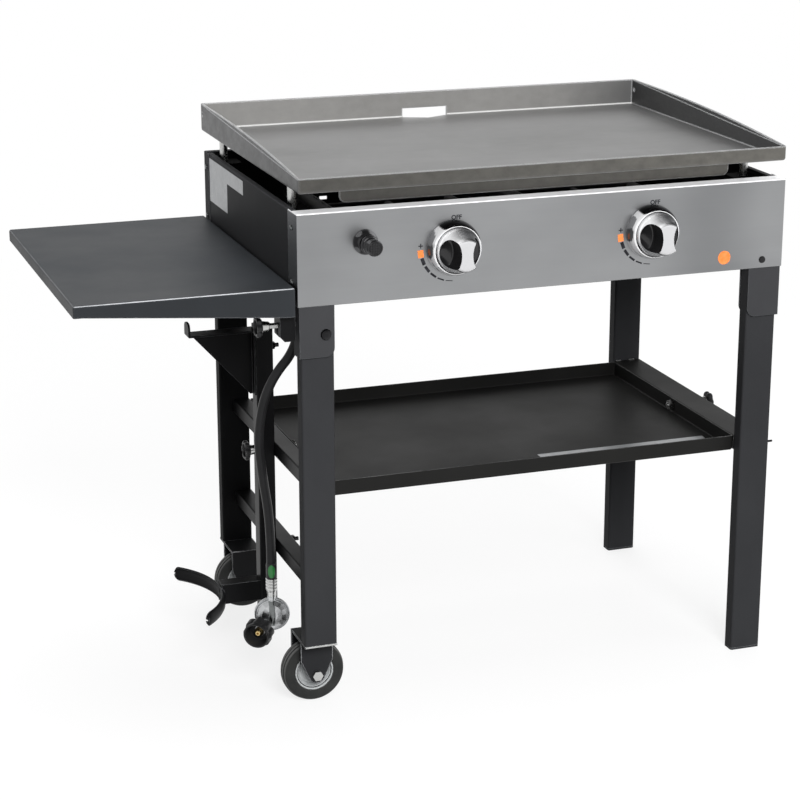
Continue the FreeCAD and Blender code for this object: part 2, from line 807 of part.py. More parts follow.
def shelf_bracket(stud_at):
    # A folded channel under the shelf, open towards the box, with a slot that drops over the stud
    outer, inner = -bracket_web, -half_width - 0.5
    y0, y1 = stud_at - bracket_depth / 2, stud_at + bracket_depth / 2
    low, high = box_clearance - bracket_drop, side_shelf_top - side_shelf_sheet
    channel = block(outer, inner, y0, y1, low, high)
    channel = channel.cut(block(outer + bracket_sheet, inner + 1, y0 + bracket_sheet, y1 - bracket_sheet,
                                low - 1, high + 1))
    trim = [(outer - 1, low - 1), (outer + bracket_chamfer, low - 1), (outer - 1, low + bracket_chamfer + 1)]
    channel = channel.cut(prism_y(trim, y0 - 1, y1 + 1))
    # The part beside the shelf's own end flange is cut back to stand inside it
    inside = -(side_shelf_inner + side_shelf_bend)
    channel = channel.cut(block(inside, inner + 2, y0 - 1, y1 + 1, side_shelf_top - side_shelf_flange,
                                high + 1))
    slot = stud_radius + stud_slot_gap
    channel = channel.cut(block(outer - 1, outer + bracket_sheet + 1, stud_at - slot, stud_at + slot,
                                low - 1, side_stud_z))
    # The shelf hangs on its studs: the round top of the slot rests on them
    crown = rod(slot, Vector(outer - 1, stud_at, side_stud_z),
                Vector(outer + bracket_sheet + 1, stud_at, side_stud_z))
    return channel.cut(crown)


def side_shelf_nuts():
    return [weld_nut(-web_inner, -1, y, side_stud_z) for y in side_stud_ys]


# Casters
def caster_y(front):
    # Fork faces and the wheel's middle plane, mirrored between the front and the rear leg
    if front:
        plate0 = front_sleeve_y + leg_offset
        inner = plate0 + leg_depth
        return plate0, inner, inner + fork_span
    plate0 = rear_sleeve_y + leg_offset + leg_depth
    inner = plate0 - leg_depth
    return plate0, inner, inner - fork_span


def caster_bracket(front):
    plate0, near, far = caster_y(front)
    away = 1 if far > near else -1
    x0, x1 = -leg_outer, -leg_inner
    mid = (x0 + x1) / 2
    top, under = caster_top, caster_top - fork_steel
    deck = block(x0, x1, plate0, far, under, top)
    waist = axle_z + 22
    shoulder = fork_nose * math.cos(math.radians(25))
    nose = [(x0, top), (x0, waist), (mid - shoulder, axle_z - 5), (mid + shoulder, axle_z - 5), (x1, waist),
            (x1, top)]
    forks = None
    for face in (near, far - away * fork_steel):
        cheek = prism_y(nose, face, face + away * fork_steel)
        tip = rod(fork_nose, Vector(mid, face, axle_z), Vector(mid, face + away * fork_steel, axle_z))
        cheek = cheek.fuse(tip)
        forks = cheek if forks is None else forks.fuse(cheek)
    body = deck.fuse(forks).removeSplitter()
    hole = rod(axle_radius + bolt_gap, Vector(mid, near - away, axle_z), Vector(mid, far + away, axle_z))
    return body.cut(hole)


def axle_bolt(front):
    plate0, near, far = caster_y(front)
    away = 1 if far > near else -1
    mid = -(leg_outer + leg_inner) / 2
    shaft = rod(axle_radius, Vector(mid, near, axle_z), Vector(mid, far, axle_z))
    head = hexagon(bolt_head_across, Vector(mid, near, axle_z),
                   Vector(mid, near - away * bolt_head_length, axle_z))
    nut = hexagon(bolt_head_across, Vector(mid, far, axle_z),
                  Vector(mid, far + away * bolt_head_length, axle_z))
    return shaft.fuse(head).fuse(nut)


def wheel_middle(front):
    plate0, near, far = caster_y(front)
    return Vector(-(leg_outer + leg_inner) / 2, (near + far) / 2, axle_z)


def wheel_rim(front):
    hub = fork_span / 2 - fork_steel - caster_side_gap
    half = tyre_width / 2 - 1.5
    web = wheel_web / 2
    bore = axle_radius + running_gap
    profile = [(bore, -hub), (wheel_hub_radius, -hub), (wheel_hub_radius + 2, -web), (rim_bore, -web),
               (rim_bore + 1.5, -half), (rim_radius, -half), (rim_radius, half), (rim_bore + 1.5, half),
               (rim_bore, web), (wheel_hub_radius + 2, web), (wheel_hub_radius, hub), (bore, hub)]
    return turned(profile, wheel_middle(front), AXIS_Y)


def tyre(front):
    half = tyre_width / 2
    r, g = wheel_radius, tread_groove
    profile = [(rim_radius, -half + 1.5), (rim_radius + 3, -half), (r - 5, -half), (r - 1.5, -half + 2.5),
               (r - g, -half + 6), (r, -half + 7), (r, -2), (r - g, -1), (r - g, 1), (r, 2), (r, half - 7),
               (r - g, half - 6), (r - 1.5, half - 2.5), (r - 5, half), (rim_radius + 3, half),
               (rim_radius, half - 1.5)]
    return turned(profile, wheel_middle(front), AXIS_Y)


# Burner controls
def knob_bezel(x):
    profile = [(bezel_inner + 2, 0), (bezel_radius, 0), (bezel_radius, 2), (bezel_radius - 1.2, 7),
               (bezel_radius - 3.6, 10.6), (bezel_inner + 0.8, bezel_rise), (bezel_inner, bezel_rise - 1)]
    return turned(profile, Vector(x, 0, control_z), Vector(0, -1, 0))


def burner_knob(x):
    profile = [(stem_radius, knob_back - 2.5), (stem_boss_radius, knob_back - 2.5),
               (stem_boss_radius, knob_back + 4),
               (knob_radius - 2.5, knob_back + 4), (knob_radius - 2.5, knob_back), (knob_radius, knob_back),
               (knob_radius, knob_rim - 2), (knob_radius - 1, knob_rim), (knob_radius - 3, knob_rim + 7),
               (knob_tip_radius + 1, knob_front - 5), (knob_tip_radius - 1, knob_front - 1.2),
               (knob_tip_radius - 3.5, knob_front), (0, knob_front), (0, knob_back + 13),
               (stem_radius, knob_back + 13)]
    knob = turned(profile, Vector(x, 0, control_z), Vector(0, -1, 0))
    reach = grip_waist / 2 + grip_scoop_radius
    for side in (-1, 1):
        scoop = rod(grip_scoop_radius, Vector(x + side * reach, -knob_rim, control_z),
                    Vector(x + side * reach, -knob_front - 1, control_z))
        knob = knob.cut(scoop)
    return knob


def valve_stem(x):
    return rod(stem_radius, Vector(x, -knob_back - 13, control_z), Vector(x, valve_body_y, control_z))


def valve_collar(x):
    y0 = valve_cap_front + 16
    return turned([(stem_radius + running_gap, 0), (collar_radius, 0), (collar_radius, collar_length),
                   (stem_radius + running_gap, collar_length)], Vector(x, y0, control_z), AXIS_Y)


def gas_valve(x):
    z = control_z
    cap0 = valve_cap_front
    rear = valve_body_y + valve_body_length
    half = valve_body_width / 2
    body = rod(valve_cap_radius, Vector(x, cap0, z), Vector(x, cap0 + 10, z))
    body = body.fuse(rod(valve_barrel_radius, Vector(x, cap0 + 10, z), Vector(x, valve_body_y, z)))
    body = body.fuse(block(x - half, x + half, valve_body_y, rear, z - half, z + half))
    boss = box_clearance + manifold_boss_top
    body = body.fuse(rod(7, Vector(x, manifold_y, boss), Vector(x, manifold_y, z)))
    body = body.fuse(rod(6, Vector(x, rear, z), Vector(x, rear + 12, z)))
    body = body.fuse(rod(4, Vector(x, rear + 12, z), Vector(x, rear + 18, z)))
    bore = rod(stem_radius + running_gap, Vector(x, cap0 - 1, z), Vector(x, valve_body_y + 8, z))
    room = collar_length + knob_push + 2
    chamber = rod(collar_radius + chamber_gap, Vector(x, cap0 + 15, z), Vector(x, cap0 + 15 + room + 1, z))
    jet = rod(1.2, Vector(x, rear - 4, z), Vector(x, rear + 19, z))
    return body.removeSplitter().cut(bore).cut(chamber).cut(jet)


def manifold():
    level = box_clearance + manifold_level
    end_x = knob_right_x + manifold_overrun
    foot = box_clearance - inlet_drop + inlet_length
    path = [(manifold_left, manifold_y, foot), (manifold_left, manifold_y, level), (end_x, manifold_y, level)]
    # One bend of the chosen radius between the drop and the long run
    bend = manifold_bend
    a = Vector(manifold_left, manifold_y, level - bend)
    b = Vector(manifold_left + bend, manifold_y, level)
    middle = Vector(manifold_left + bend * (1 - math.sqrt(0.5)), manifold_y,
                    level - bend * (1 - math.sqrt(0.5)))
    wire = Part.Wire([Part.LineSegment(Vector(*path[0]), a).toShape(), Part.Arc(a, middle, b).toShape(),
                      Part.LineSegment(b, Vector(*path[2])).toShape()])
    pipe = swept_rod(wire, manifold_radius)
    for x in (knob_left_x, knob_right_x):
        top = box_clearance + manifold_boss_top
        pipe = pipe.fuse(rod(manifold_boss_radius, Vector(x, manifold_y, level), Vector(x, manifold_y, top)))
    pipe = pipe.cut(swept_rod(wire, manifold_bore))
    plug = rod(manifold_radius, Vector(end_x, manifold_y, level), Vector(end_x + 4, manifold_y, level))
    return pipe.fuse(plug)


def gas_inlet():
    low = box_clearance - inlet_drop
    start = Vector(manifold_left, manifold_y, low)
    return hexagon(inlet_hex, start, start + AXIS_Z * inlet_length)


def manifold_saddles():
    level = box_clearance + manifold_level
    saddles = []
    for x in ((manifold_left + knob_left_x) / 2, (knob_left_x + knob_right_x) / 2):
        w, h = saddle_half_width, saddle_half_height
        strap = block(x - w, x + w, manifold_y, baffle_y, level - h, level + h)
        pipe = rod(manifold_radius, Vector(x - w - 1, manifold_y, level),
                   Vector(x + w + 1, manifold_y, level))
        saddles.append(strap.cut(pipe))
    return saddles


# Burners: a flared venturi feeds an H of tubes with slit ports along their tops
def burner(x):
    z = control_z
    r, t = burner_radius, burner_wall
    mid = (burner_front + burner_rear) / 2
    hw = burner_half_width
    mouth, throat, feed = burner_mouth_radius, burner_throat_radius, burner_feed_radius
    y0 = burner_mouth_y

    def venturi(grow):
        return [(0, y0 - (1 if grow else 0)), (mouth - grow, y0 - (1 if grow else 0)), (mouth - grow, y0 + 5),
                (throat - grow, y0 + 24), (throat - grow, y0 + 36), (feed - grow, y0 + 62),
                (feed - grow, mid), (0, mid)]

    def tubes(grow):
        arms = [rod(burner_cross_radius - grow, Vector(x - hw, mid, z), Vector(x + hw, mid, z))]
        for side in (-1, 1):
            arms.append(rod(r - grow, Vector(x + side * hw, burner_front + grow, z),
                            Vector(x + side * hw, burner_rear - grow, z)))
        return turned(venturi(grow), Vector(x, 0, z), AXIS_Y).multiFuse(arms)
    shell = tubes(0).cut(tubes(t))
    pitch = (burner_rear - burner_front) / port_count
    for side in (-1, 1):
        for k in range(port_count):
            y = burner_front + (k + 0.5) * pitch
            shell = shell.cut(block(x + side * hw - port_width / 2, x + side * hw + port_width / 2,
                                    y - port_length / 2, y + port_length / 2, z + r - 3, z + r + 1))
    for side in (-1, 1):
        window = block(x + side * (throat - 4), x + side * (mouth + 1), y0 + 8, y0 + 20, z - 5, z + 5)
        shell = shell.cut(window)
    return shell


def burner_rails():
    top = control_z - burner_radius
    return [block(-web_inner, web_inner, y - rail_width / 2, y + rail_width / 2, top - rail_steel, top)
            for y in (rail_front_y, rail_rear_y)]


# Igniter
def igniter_bezel():
    bore = igniter_button_radius + 0.4
    rise = igniter_bezel_rise
    profile = [(bore, 0), (igniter_bezel_radius, 0), (igniter_bezel_radius, 2.5),
               (igniter_bezel_radius - 1.5, 6),
               (bore + 2.4, rise - 1.5), (bore + 1.4, rise), (bore, rise)]
    return turned(profile, Vector(igniter_x, 0, igniter_z), Vector(0, -1, 0))


def igniter_body():
    bore = igniter_stem_radius + 0.6
    length = igniter_body_length
    profile = [(bore, 0), (igniter_bezel_radius - 2, 0), (igniter_bezel_radius - 2, 3),
               (igniter_body_radius, 3),
               (igniter_body_radius, length), (0, length), (0, length - 3), (bore, length - 3)]
    return turned(profile, Vector(igniter_x, panel_sheet, igniter_z), AXIS_Y)


def igniter_button():
    r1, r2, front = igniter_button_radius, igniter_tip_radius, igniter_front
    stem, step = igniter_stem_radius, igniter_bezel_rise + 9
    profile = [(0, -22), (stem, -22), (stem, igniter_travel + 1), (r1, igniter_travel + 1),
               (r1, step - 5), (r1 - 1, step - 4), (r1 - 1, step - 3), (r1, step - 2), (r1, step - 1),
               (r1 - 1, step), (r2, step), (r2, front - 1.5), (r2 - 1.5, front), (0, front)]
    button = turned(profile, Vector(igniter_x, 0, igniter_z), Vector(0, -1, 0))
    # Cross grooves on the tip give the finger a grip
    for k in (-1, 0, 1):
        z = igniter_z + k * 5.2
        button = button.cut(block(igniter_x - r2 - 1, igniter_x + r2 + 1, -front - 1, -front + 1, z - 0.6,
                                  z + 0.6))
    return button


def electrodes():
    rods = []
    for x in (knob_left_x, knob_right_x):
        at = x - burner_half_width + burner_radius + electrode_radius + 3
        z = control_z
        a = Vector(at, baffle_rear, z)
        b = a + AXIS_Y * electrode_length
        rods.append(rod(electrode_radius, a, b).fuse(rod(spark_wire, b, b + AXIS_Y * 12)))
    return rods


# Grease cup and the ledges that it slides on
def cup_bracket():
    seat = box_clearance + cup_seat_level
    t = cup_bracket_steel
    half = cup_width / 2 + cup_rim + 2
    y0, y1 = box_depth, cup_rear - cup_ledge_short
    plate = block(-half - t, half + t, y0, y0 + t, seat - cup_bracket_drop, seat + cup_bracket_rise)
    body = plate
    for side in (-1, 1):
        web = block(side * half, side * (half + t), y0, y1, seat - t, seat + cup_ledge_height)
        ledge = block(side * half, side * (half - cup_rim), y0, y1, seat - t, seat)
        body = body.fuse(web).fuse(ledge)
    return body.removeSplitter()


def grease_cup():
    seat = box_clearance + cup_seat_level
    t = cup_sheet
    half = cup_width / 2
    y0, y1 = box_depth + cup_gap, cup_rear
    low = seat - cup_height
    top = seat + t
    cup = block(-half, half, y0, y1, low, top)
    cup = round_edges(cup, 4, lambda e: lies_on(e, AXIS_Z, low) or runs_along(e, AXIS_Z))
    rim = block(-half - cup_rim, half + cup_rim, y0, y1, seat, top)
    cup = cup.fuse(rim).removeSplitter()
    well = block(-half + t, half - t, y0 + t, y1 - t, low + t, top + 1)
    well = round_edges(well, 3, lambda e: lies_on(e, AXIS_Z, low + t) or runs_along(e, AXIS_Z))
    return cup.cut(well)


# Gas hose, regulator and bottle coupling
hose_end = Vector(*hose_route[-1])
label_bottom = hose_end - AXIS_Z * label_length
crimp_bottom = label_bottom - AXIS_Z * crimp_length
regulator_centre = crimp_bottom - AXIS_Z * regulator_drop
regulator_facing = Vector(-0.25, -0.97, 0).normalize()
coupling_axis = Vector(-0.573, -0.812, -0.106).normalize()
coupling_start = regulator_centre - Vector(coupling_side, coupling_front, coupling_below)


def gas_hose():
    wire, radii, length = rounded_path(hose_route, hose_arc_share)
    tube = swept_rod(wire, hose_diameter / 2)
    expected = math.pi * (hose_diameter / 2) ** 2 * length
    print("hose bend radii", [round(r) for r in radii], "length", round(length))
    print("hose volume over section times length", round(tube.Volume / expected, 4))
    return tube


def hose_label():
    return rod(label_radius, label_bottom, hose_end)


def hose_crimp():
    r, n = crimp_radius, crimp_neck
    length = crimp_length
    profile = [(0, 0), (n, 0), (n, 9), (r, 10), (r, 13), (r - 0.8, 14), (r - 0.8, 17), (r, 18), (r, length),
               (0, length)]
    return turned(profile, crimp_bottom, AXIS_Z)


def regulator():
    r, f = regulator_radius, regulator_flange / 2
    profile = [(0, -regulator_back), (9, -regulator_back), (10, -regulator_back + 3),
               (r - 9, -regulator_back + 4),
               (r - 4, -f - 1), (r - 4, -f), (r, -f), (r, f), (r - 3, f), (r - 6, f + 3),
               (r - 13, f + regulator_dome),
               (0, f + regulator_dome)]
    body = turned(profile, regulator_centre, regulator_facing)
    body = body.fuse(rod(crimp_neck, crimp_bottom - AXIS_Z * (regulator_drop - 4), crimp_bottom))
    # A cast ridge runs down the face from the crimp
    out = regulator_facing * ridge_rise
    ridge = rod(ridge_radius, regulator_centre + out - AXIS_Z * ridge_below,
                crimp_bottom - AXIS_Z * ridge_radius + out)
    neck_start = coupling_start - coupling_axis * coupling_neck
    neck_end = coupling_start + coupling_axis * (coupling_base + 1)
    neck = rod(coupling_neck_radius, neck_start, neck_end)
    return body.fuse(ridge).fuse(neck).removeSplitter()


def coupling_nut():
    clear = coupling_neck_radius + running_gap
    start = coupling_start
    end = start + coupling_axis * coupling_length
    shoulder = start + coupling_axis * coupling_collar
    nut = lobed_solid(coupling_outer, coupling_lobe_depth, coupling_lobes, shoulder, end)
    nut = nut.fuse(rod(coupling_outer - coupling_collar, start, shoulder))
    nut = nut.cut(rod(clear, start - coupling_axis, end))
    return nut.cut(rod(coupling_cavity, start + coupling_axis * coupling_base, end + coupling_axis))


def gas_nipple():
    base = coupling_base + 1
    tip = coupling_length - nipple_setback
    profile = [(0, base), (nipple_radius + 1.5, base), (nipple_radius + 1.5, base + 3),
               (nipple_radius, base + 4),
               (nipple_radius, tip - 3), (nipple_radius - 2, tip), (0, tip)]
    return turned(profile, coupling_start, coupling_axis)


# Plug in the control panel's lower corner
def panel_plug():
    x, z, r = half_width - plug_inset, box_clearance + plug_level, plug_radius
    return turned([(0, 0), (r, 0), (r - 0.6, 1.6), (r - 2.6, 2.6), (0, 2.8)], Vector(x, 0, z),
                  Vector(0, -1, 0))


# All pieces by name
def sheet_metal():
    return {
        "control_panel": control_panel(),
        "rear_panel": rear_panel(),
        "side_panels": [side_panel(-1), side_panel(1)],
        "heat_baffle": heat_baffle(),
        "fire_pan": fire_pan(),
        "plate_seats": plate_seats(),
        "griddle_plate": griddle_plate(),
        "plate_rib": plate_rib(),
        "plate_pegs": plate_pegs(),
        "panel_plug": panel_plug(),
        "cup_bracket": cup_bracket(),
        "grease_cup": grease_cup(),
    }


def stand():
    front, rear = front_sleeve_y, rear_sleeve_y
    bar_left = cross_bar(-leg_inner, -left_bar_outer, shelf_bar_top)
    bar_right = cross_bar(leg_inner, leg_outer, shelf_bar_top)
    return {
        "leg_sleeves": [leg_sleeve(side, y) for side in (-1, 1) for y in (front, rear)],
        "left_legs": [leg(-1, y) for y in (front, rear)],
        "right_legs": [leg(1, y) for y in (front, rear)],
        "pivot_bolts": pivot_bolts(),
        "tube_caps": foot_caps() + bar_caps(),
        "leg_hook": leg_hook(),
        "left_cross_bars": [bar_left.cut(stud_hole(-left_bar_outer - 1, -leg_inner + 1)),
                            cross_bar(-leg_inner, -left_bar_outer, lower_bar_top)],
        "right_cross_bar": bar_right.cut(stud_hole(leg_inner - 1, leg_outer + 1)),
        "bottom_shelf": bottom_shelf(),
        "weld_nuts": shelf_nuts() + side_shelf_nuts(),
        "tank_bar": tank_bar(),
        "tank_hook": tank_hook(),
        "tank_cradle": tank_cradle(),
        "caster_brackets": [caster_bracket(True), caster_bracket(False)],
        "axle_bolts": [axle_bolt(True), axle_bolt(False)],
        "wheel_rim_front": wheel_rim(True),
        "tyre_front": tyre(True),
        "wheel_rim_rear": wheel_rim(False),
        "tyre_rear": tyre(False),
    }


def shelf_and_knobs():
    bracket_face = -bracket_web - side_stud_show
    into_left = tank_bar_size + left_bar_width + shelf_sheet + nut_length + stud_overrun
    into_right = leg_width + shelf_sheet + nut_length + stud_overrun
    into_side = bracket_web + side_stud_show - web_inner
    y_front, y_rear = side_stud_ys
    return {
        "side_shelf": side_shelf(),
        "shelf_brackets": [shelf_bracket(y) for y in side_stud_ys],
        "shelf_knob_left": star_knob(-tank_bar_outer, -1, into_left, stud_y, stud_level),
        "shelf_knob_right": star_knob(leg_outer, 1, into_right, stud_y, stud_level),
        "side_knob_front": star_knob(bracket_face, -1, into_side, y_front, side_stud_z),
        "side_knob_rear": star_knob(bracket_face, -1, into_side, y_rear, side_stud_z),
    }


def gas_train():
    pieces = {
        "knob_bezels": [knob_bezel(knob_left_x), knob_bezel(knob_right_x)],
        "gas_valves": [gas_valve(knob_left_x), gas_valve(knob_right_x)],
        "burners": [burner(knob_left_x), burner(knob_right_x)],
        "burner_rails": burner_rails(),
        "manifold": manifold(),
        "manifold_saddles": manifold_saddles(),
        "gas_inlet": gas_inlet(),
        "igniter_bezel": igniter_bezel(),
        "igniter_body": igniter_body(),
        "igniter_button": igniter_button(),
        "electrodes": electrodes(),
        "gas_hose": gas_hose(),
        "hose_label": hose_label(),
        "hose_crimp": hose_crimp(),
        "regulator": regulator(),
        "coupling_nut": coupling_nut(),
        "gas_nipple": gas_nipple(),
    }
    for side, x in (("left", knob_left_x), ("right", knob_right_x)):
        pieces["burner_knob_" + side] = burner_knob(x)
        pieces["valve_stem_" + side] = valve_stem(x)
        pieces["valve_collar_" + side] = valve_collar(x)
    return pieces


os.makedirs("parts", exist_ok=True)
pieces = {**sheet_metal(), **stand(), **shelf_and_knobs(), **gas_train()}
for name, solids in pieces.items():
    shape = Part.makeCompound(solids) if isinstance(solids, list) else solids
    shape.translate(row_shift)
    shape.exportStep("parts/%s.step" % name)
print(len(pieces), "pieces")
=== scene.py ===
import math
import bpy
import bmesh
from mathutils import Matrix, Vector


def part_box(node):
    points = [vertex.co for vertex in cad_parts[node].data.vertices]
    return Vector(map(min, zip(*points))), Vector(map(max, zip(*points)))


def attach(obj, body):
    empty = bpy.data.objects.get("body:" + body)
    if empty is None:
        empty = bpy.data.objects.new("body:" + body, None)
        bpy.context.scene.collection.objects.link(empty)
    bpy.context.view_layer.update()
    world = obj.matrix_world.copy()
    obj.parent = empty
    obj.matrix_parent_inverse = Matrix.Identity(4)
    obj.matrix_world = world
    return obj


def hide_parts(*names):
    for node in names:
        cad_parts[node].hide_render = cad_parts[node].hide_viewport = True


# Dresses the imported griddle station: finishes for its nodes, finer pieces, camera, floor and lamps
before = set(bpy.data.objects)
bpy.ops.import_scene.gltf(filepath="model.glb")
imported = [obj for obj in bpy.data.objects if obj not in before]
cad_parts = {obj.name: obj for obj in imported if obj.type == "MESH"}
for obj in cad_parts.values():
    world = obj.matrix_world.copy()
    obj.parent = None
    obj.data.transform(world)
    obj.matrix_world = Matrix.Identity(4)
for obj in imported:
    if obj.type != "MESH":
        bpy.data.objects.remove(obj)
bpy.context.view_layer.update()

# Pieces are in millimetres in the panel's frame: X from its middle, Y from its front, Z from the floor
mm = 0.001
rowShift = Vector((0.14135, -0.24875, 0.0))
fromPanel = Matrix.Translation(rowShift) @ Matrix.Scale(mm, 4)
boxBottom = 580.0
frontward, rearward, upward = (0, -1, 0), (0, 1, 0), (0, 0, 1)
leftward, rightward = (-1, 0, 0), (1, 0, 0)
tiny = 1e-6


def spot(x, y, z):
    return Vector((x, y, z)) * mm + rowShift


def addObject(name, data):
    made = bpy.data.objects.new(name, data)
    bpy.context.scene.collection.objects.link(made)
    return made


cameraSettings = {
    "lens": 99.4,
    "sensor": 36.0,
    "farthest": 100.0,
    "place": (-1.00725, -2.93565, 1.3076),
    "yaw": 19.18,
    "pitch": 16.95,
    "roll": -0.07,
}


def addCamera():
    s = cameraSettings
    data = bpy.data.cameras.new("photoCamera")
    data.lens = s["lens"]
    data.sensor_width = s["sensor"]
    data.sensor_fit = "HORIZONTAL"
    data.clip_end = s["farthest"]
    camera = addObject("photoCamera", data)
    yaw, pitch, roll = (math.radians(s[k]) for k in ("yaw", "pitch", "roll"))
    turn = Matrix.Rotation(-yaw, 4, "Z") @ Matrix.Rotation(math.pi / 2 - pitch, 4, "X")
    camera.matrix_world = Matrix.Translation(s["place"]) @ (turn @ Matrix.Rotation(roll, 4, "Z"))
    bpy.context.scene.camera = camera


addCamera()
print("camera placed")


class Nodes:
    # A node tree and short calls for it; each input is a value or another node's output
    def __init__(self, tree):
        self.tree = tree

    def feed(self, socket, value):
        if isinstance(value, bpy.types.NodeSocket):
            self.tree.links.new(value, socket)
        else:
            socket.default_value = (*value, 1.0) if socket.type == "RGBA" else value

    def add(self, kind, inputs=None, **settings):
        made = self.tree.nodes.new(kind)
        for key, value in settings.items():
            setattr(made, key, value)
        for key, value in (inputs or {}).items():
            self.feed(made.inputs[key], value)
        return made

    def out(self, kind, inputs=None, output=0, **settings):
        return self.add(kind, inputs, **settings).outputs[output]

    def maths(self, operation, first, second=0.0, clamped=True):
        return self.out("ShaderNodeMath", {0: first, 1: second}, operation=operation, use_clamp=clamped)

    def plus(self, first, second):
        return self.maths("ADD", first, second)

    def times(self, first, second):
        return self.maths("MULTIPLY", first, second)

    def most(self, first, second):
        return self.maths("MAXIMUM", first, second)

    def size(self, value):
        return self.maths("ABSOLUTE", value)

    def remap(self, value, fromLow, fromHigh, toLow=0.0, toHigh=1.0, shape="LINEAR"):
        ends = {"From Min": fromLow, "From Max": fromHigh, "To Min": toLow, "To Max": toHigh}
        return self.out("ShaderNodeMapRange", {"Value": value, **ends}, interpolation_type=shape)

    def axisOf(self, what, axis):
        # One axis of the object's own coordinates, in metres, or of the way its surface faces, from -1 to 1
        return self.out("ShaderNodeSeparateXYZ", {0: self.out("ShaderNodeTexCoord", output=what)}, axis)

    def noise(self, stretch, detail=4.0, rough=0.55):
        # Noise on object coordinates, stretched evenly or on each axis
        scale = stretch if isinstance(stretch, tuple) else (stretch,) * 3
        place = self.out("ShaderNodeTexCoord", output="Object")
        mapped = self.out("ShaderNodeMapping", {"Vector": place, "Scale": scale})
        inputs = {"Vector": mapped, "Scale": 1.0, "Detail": detail, "Roughness": rough}
        return self.out("ShaderNodeTexNoise", inputs, "Fac")

    def blend(self, factor, first, second):
        mixed = self.add("ShaderNodeMix", {0: factor}, data_type="RGBA")
        for socket, value in zip((i for i in mixed.inputs if i.type == "RGBA"), (first, second)):
            self.feed(socket, value)
        return next(o for o in mixed.outputs if o.type == "RGBA")

    def edgeMask(self, radius, low, high):
        # 1 where the surface bends sharply within the radius and 0 on flat parts, and the softened normal.
        # The finishes lighten these edges, partly as wear and partly as a painted highlight
        soft = self.out("ShaderNodeBevel", {"Radius": radius}, samples=4)
        plain = self.out("ShaderNodeNewGeometry", output="Normal")
        match = self.out("ShaderNodeVectorMath", {0: soft, 1: plain}, "Value", operation="DOT_PRODUCT")
        return self.remap(match, high, low), soft


class Finish(Nodes):
    # A material with its principled shader
    def __init__(self, name, values=None):
        self.material = bpy.data.materials.new(name)
        self.material.use_nodes = True
        super().__init__(self.material.node_tree)
        self.shader = next(n for n in self.tree.nodes if n.type == "BSDF_PRINCIPLED")
        self.give(values or {})

    def give(self, values):
        for key, value in values.items():
            self.feed(self.shader.inputs[key], value)

    def done(self, values, height=None, depth=0.0, strength=0.5, base=None):
        self.give(values)
        if height is not None:
            inputs = {"Height": height, "Distance": depth, "Strength": strength, "Normal": base}
            self.give({"Normal": self.out("ShaderNodeBump", inputs)})
        return self.material


def shade(colour, share):
    return tuple(share * c for c in colour)


# In the finishes, a row of numbers for remap is a value's low and high end and what they become, 0 and 1
# when left out; one for the edge mask is a radius in metres and the match that counts as bent and as flat
noiseEnds = (0.3, 0.7)


def brushedSteel():
    # Long fine lines along the panel, clouds from handling, a painted highlight on the top bend and the
    # edges, and ends darkened by a painted reflection
    s = {
        "dark": (0.29, 0.295, 0.302), "light": (0.40, 0.405, 0.412), "end": (0.10, 0.105, 0.115),
        "top": (0.95, 0.95, 0.96), "edge": (0.88, 0.88, 0.89), "dip": (0.10, 0.105, 0.11),
        "lines": ((2.5, 2.5, 1100.0), 3.0, 0.7), "smudges": ((4.0, 4.0, 7.0), 3.0),
        "streaks": ((1.2, 1.2, 90.0), 3.0), "edgeWearAndHighlight": (0.0012, 0.82, 0.98), "lineTone": (0.3, 0.7, 0.0, 0.13),
        "smudgeTone": (0.3, 0.7, 0.0, 0.6), "streakTone": (0.35, 0.7, 0.0, 0.06),
        "dips": ((0.385, 0.10, 0.30), (-0.20, 0.06, 0.12)), "ends": (0.6, 0.9, 0.0, 0.85),
        "topFacing": (0.3, 0.7), "topBand": (1.8, 1.0), "topMetal": 0.15, "gloss": (0.3, 0.7, 0.24, 0.36),
        "smudgeGloss": 0.12, "bump": (0.00001, 0.6),
    }
    f = Finish("brushedSteel")
    lines, smudges, streaks = (f.noise(*s[k]) for k in ("lines", "smudges", "streaks"))
    tone = f.plus(f.remap(lines, *s["lineTone"]), f.remap(smudges, *s["smudgeTone"]))
    tone = f.plus(tone, f.remap(streaks, *s["streakTone"]))
    edge, soft = f.edgeMask(*s["edgeWearAndHighlight"])
    colour = f.blend(tone, s["dark"], s["light"])
    # Two soft painted dips in the reflection, right of the second knob and at the left end
    for middle, reach, depth in s["dips"]:
        away = f.size(f.maths("SUBTRACT", f.axisOf("Object", "X"), middle, False))
        colour = f.blend(f.remap(away, 0.0, reach, depth, 0.0, "SMOOTHSTEP"), colour, s["dip"])
    # The side ends, found by their facing, are painted dark: a painted reflection
    colour = f.blend(f.remap(f.size(f.axisOf("Normal", "X")), *s["ends"]), colour, s["end"])
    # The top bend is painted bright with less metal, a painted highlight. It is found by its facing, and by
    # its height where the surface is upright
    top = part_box("control_panel")[1].z
    band = f.remap(f.axisOf("Object", "Z"), *(top - mm * drop for drop in s["topBand"]))
    bend = f.most(f.remap(f.axisOf("Normal", "Z"), *s["topFacing"]), band)
    colour = f.blend(bend, colour, s["top"])
    rough = f.plus(f.remap(lines, *s["gloss"]), f.times(smudges, s["smudgeGloss"]))
    values = {"Metallic": f.remap(bend, 0.0, 1.0, 1.0, s["topMetal"]), "Roughness": rough}
    # Sharp edges are painted brighter, a painted highlight
    return f.done({"Base Color": f.blend(edge, colour, s["edge"]), **values}, lines, *s["bump"], soft)


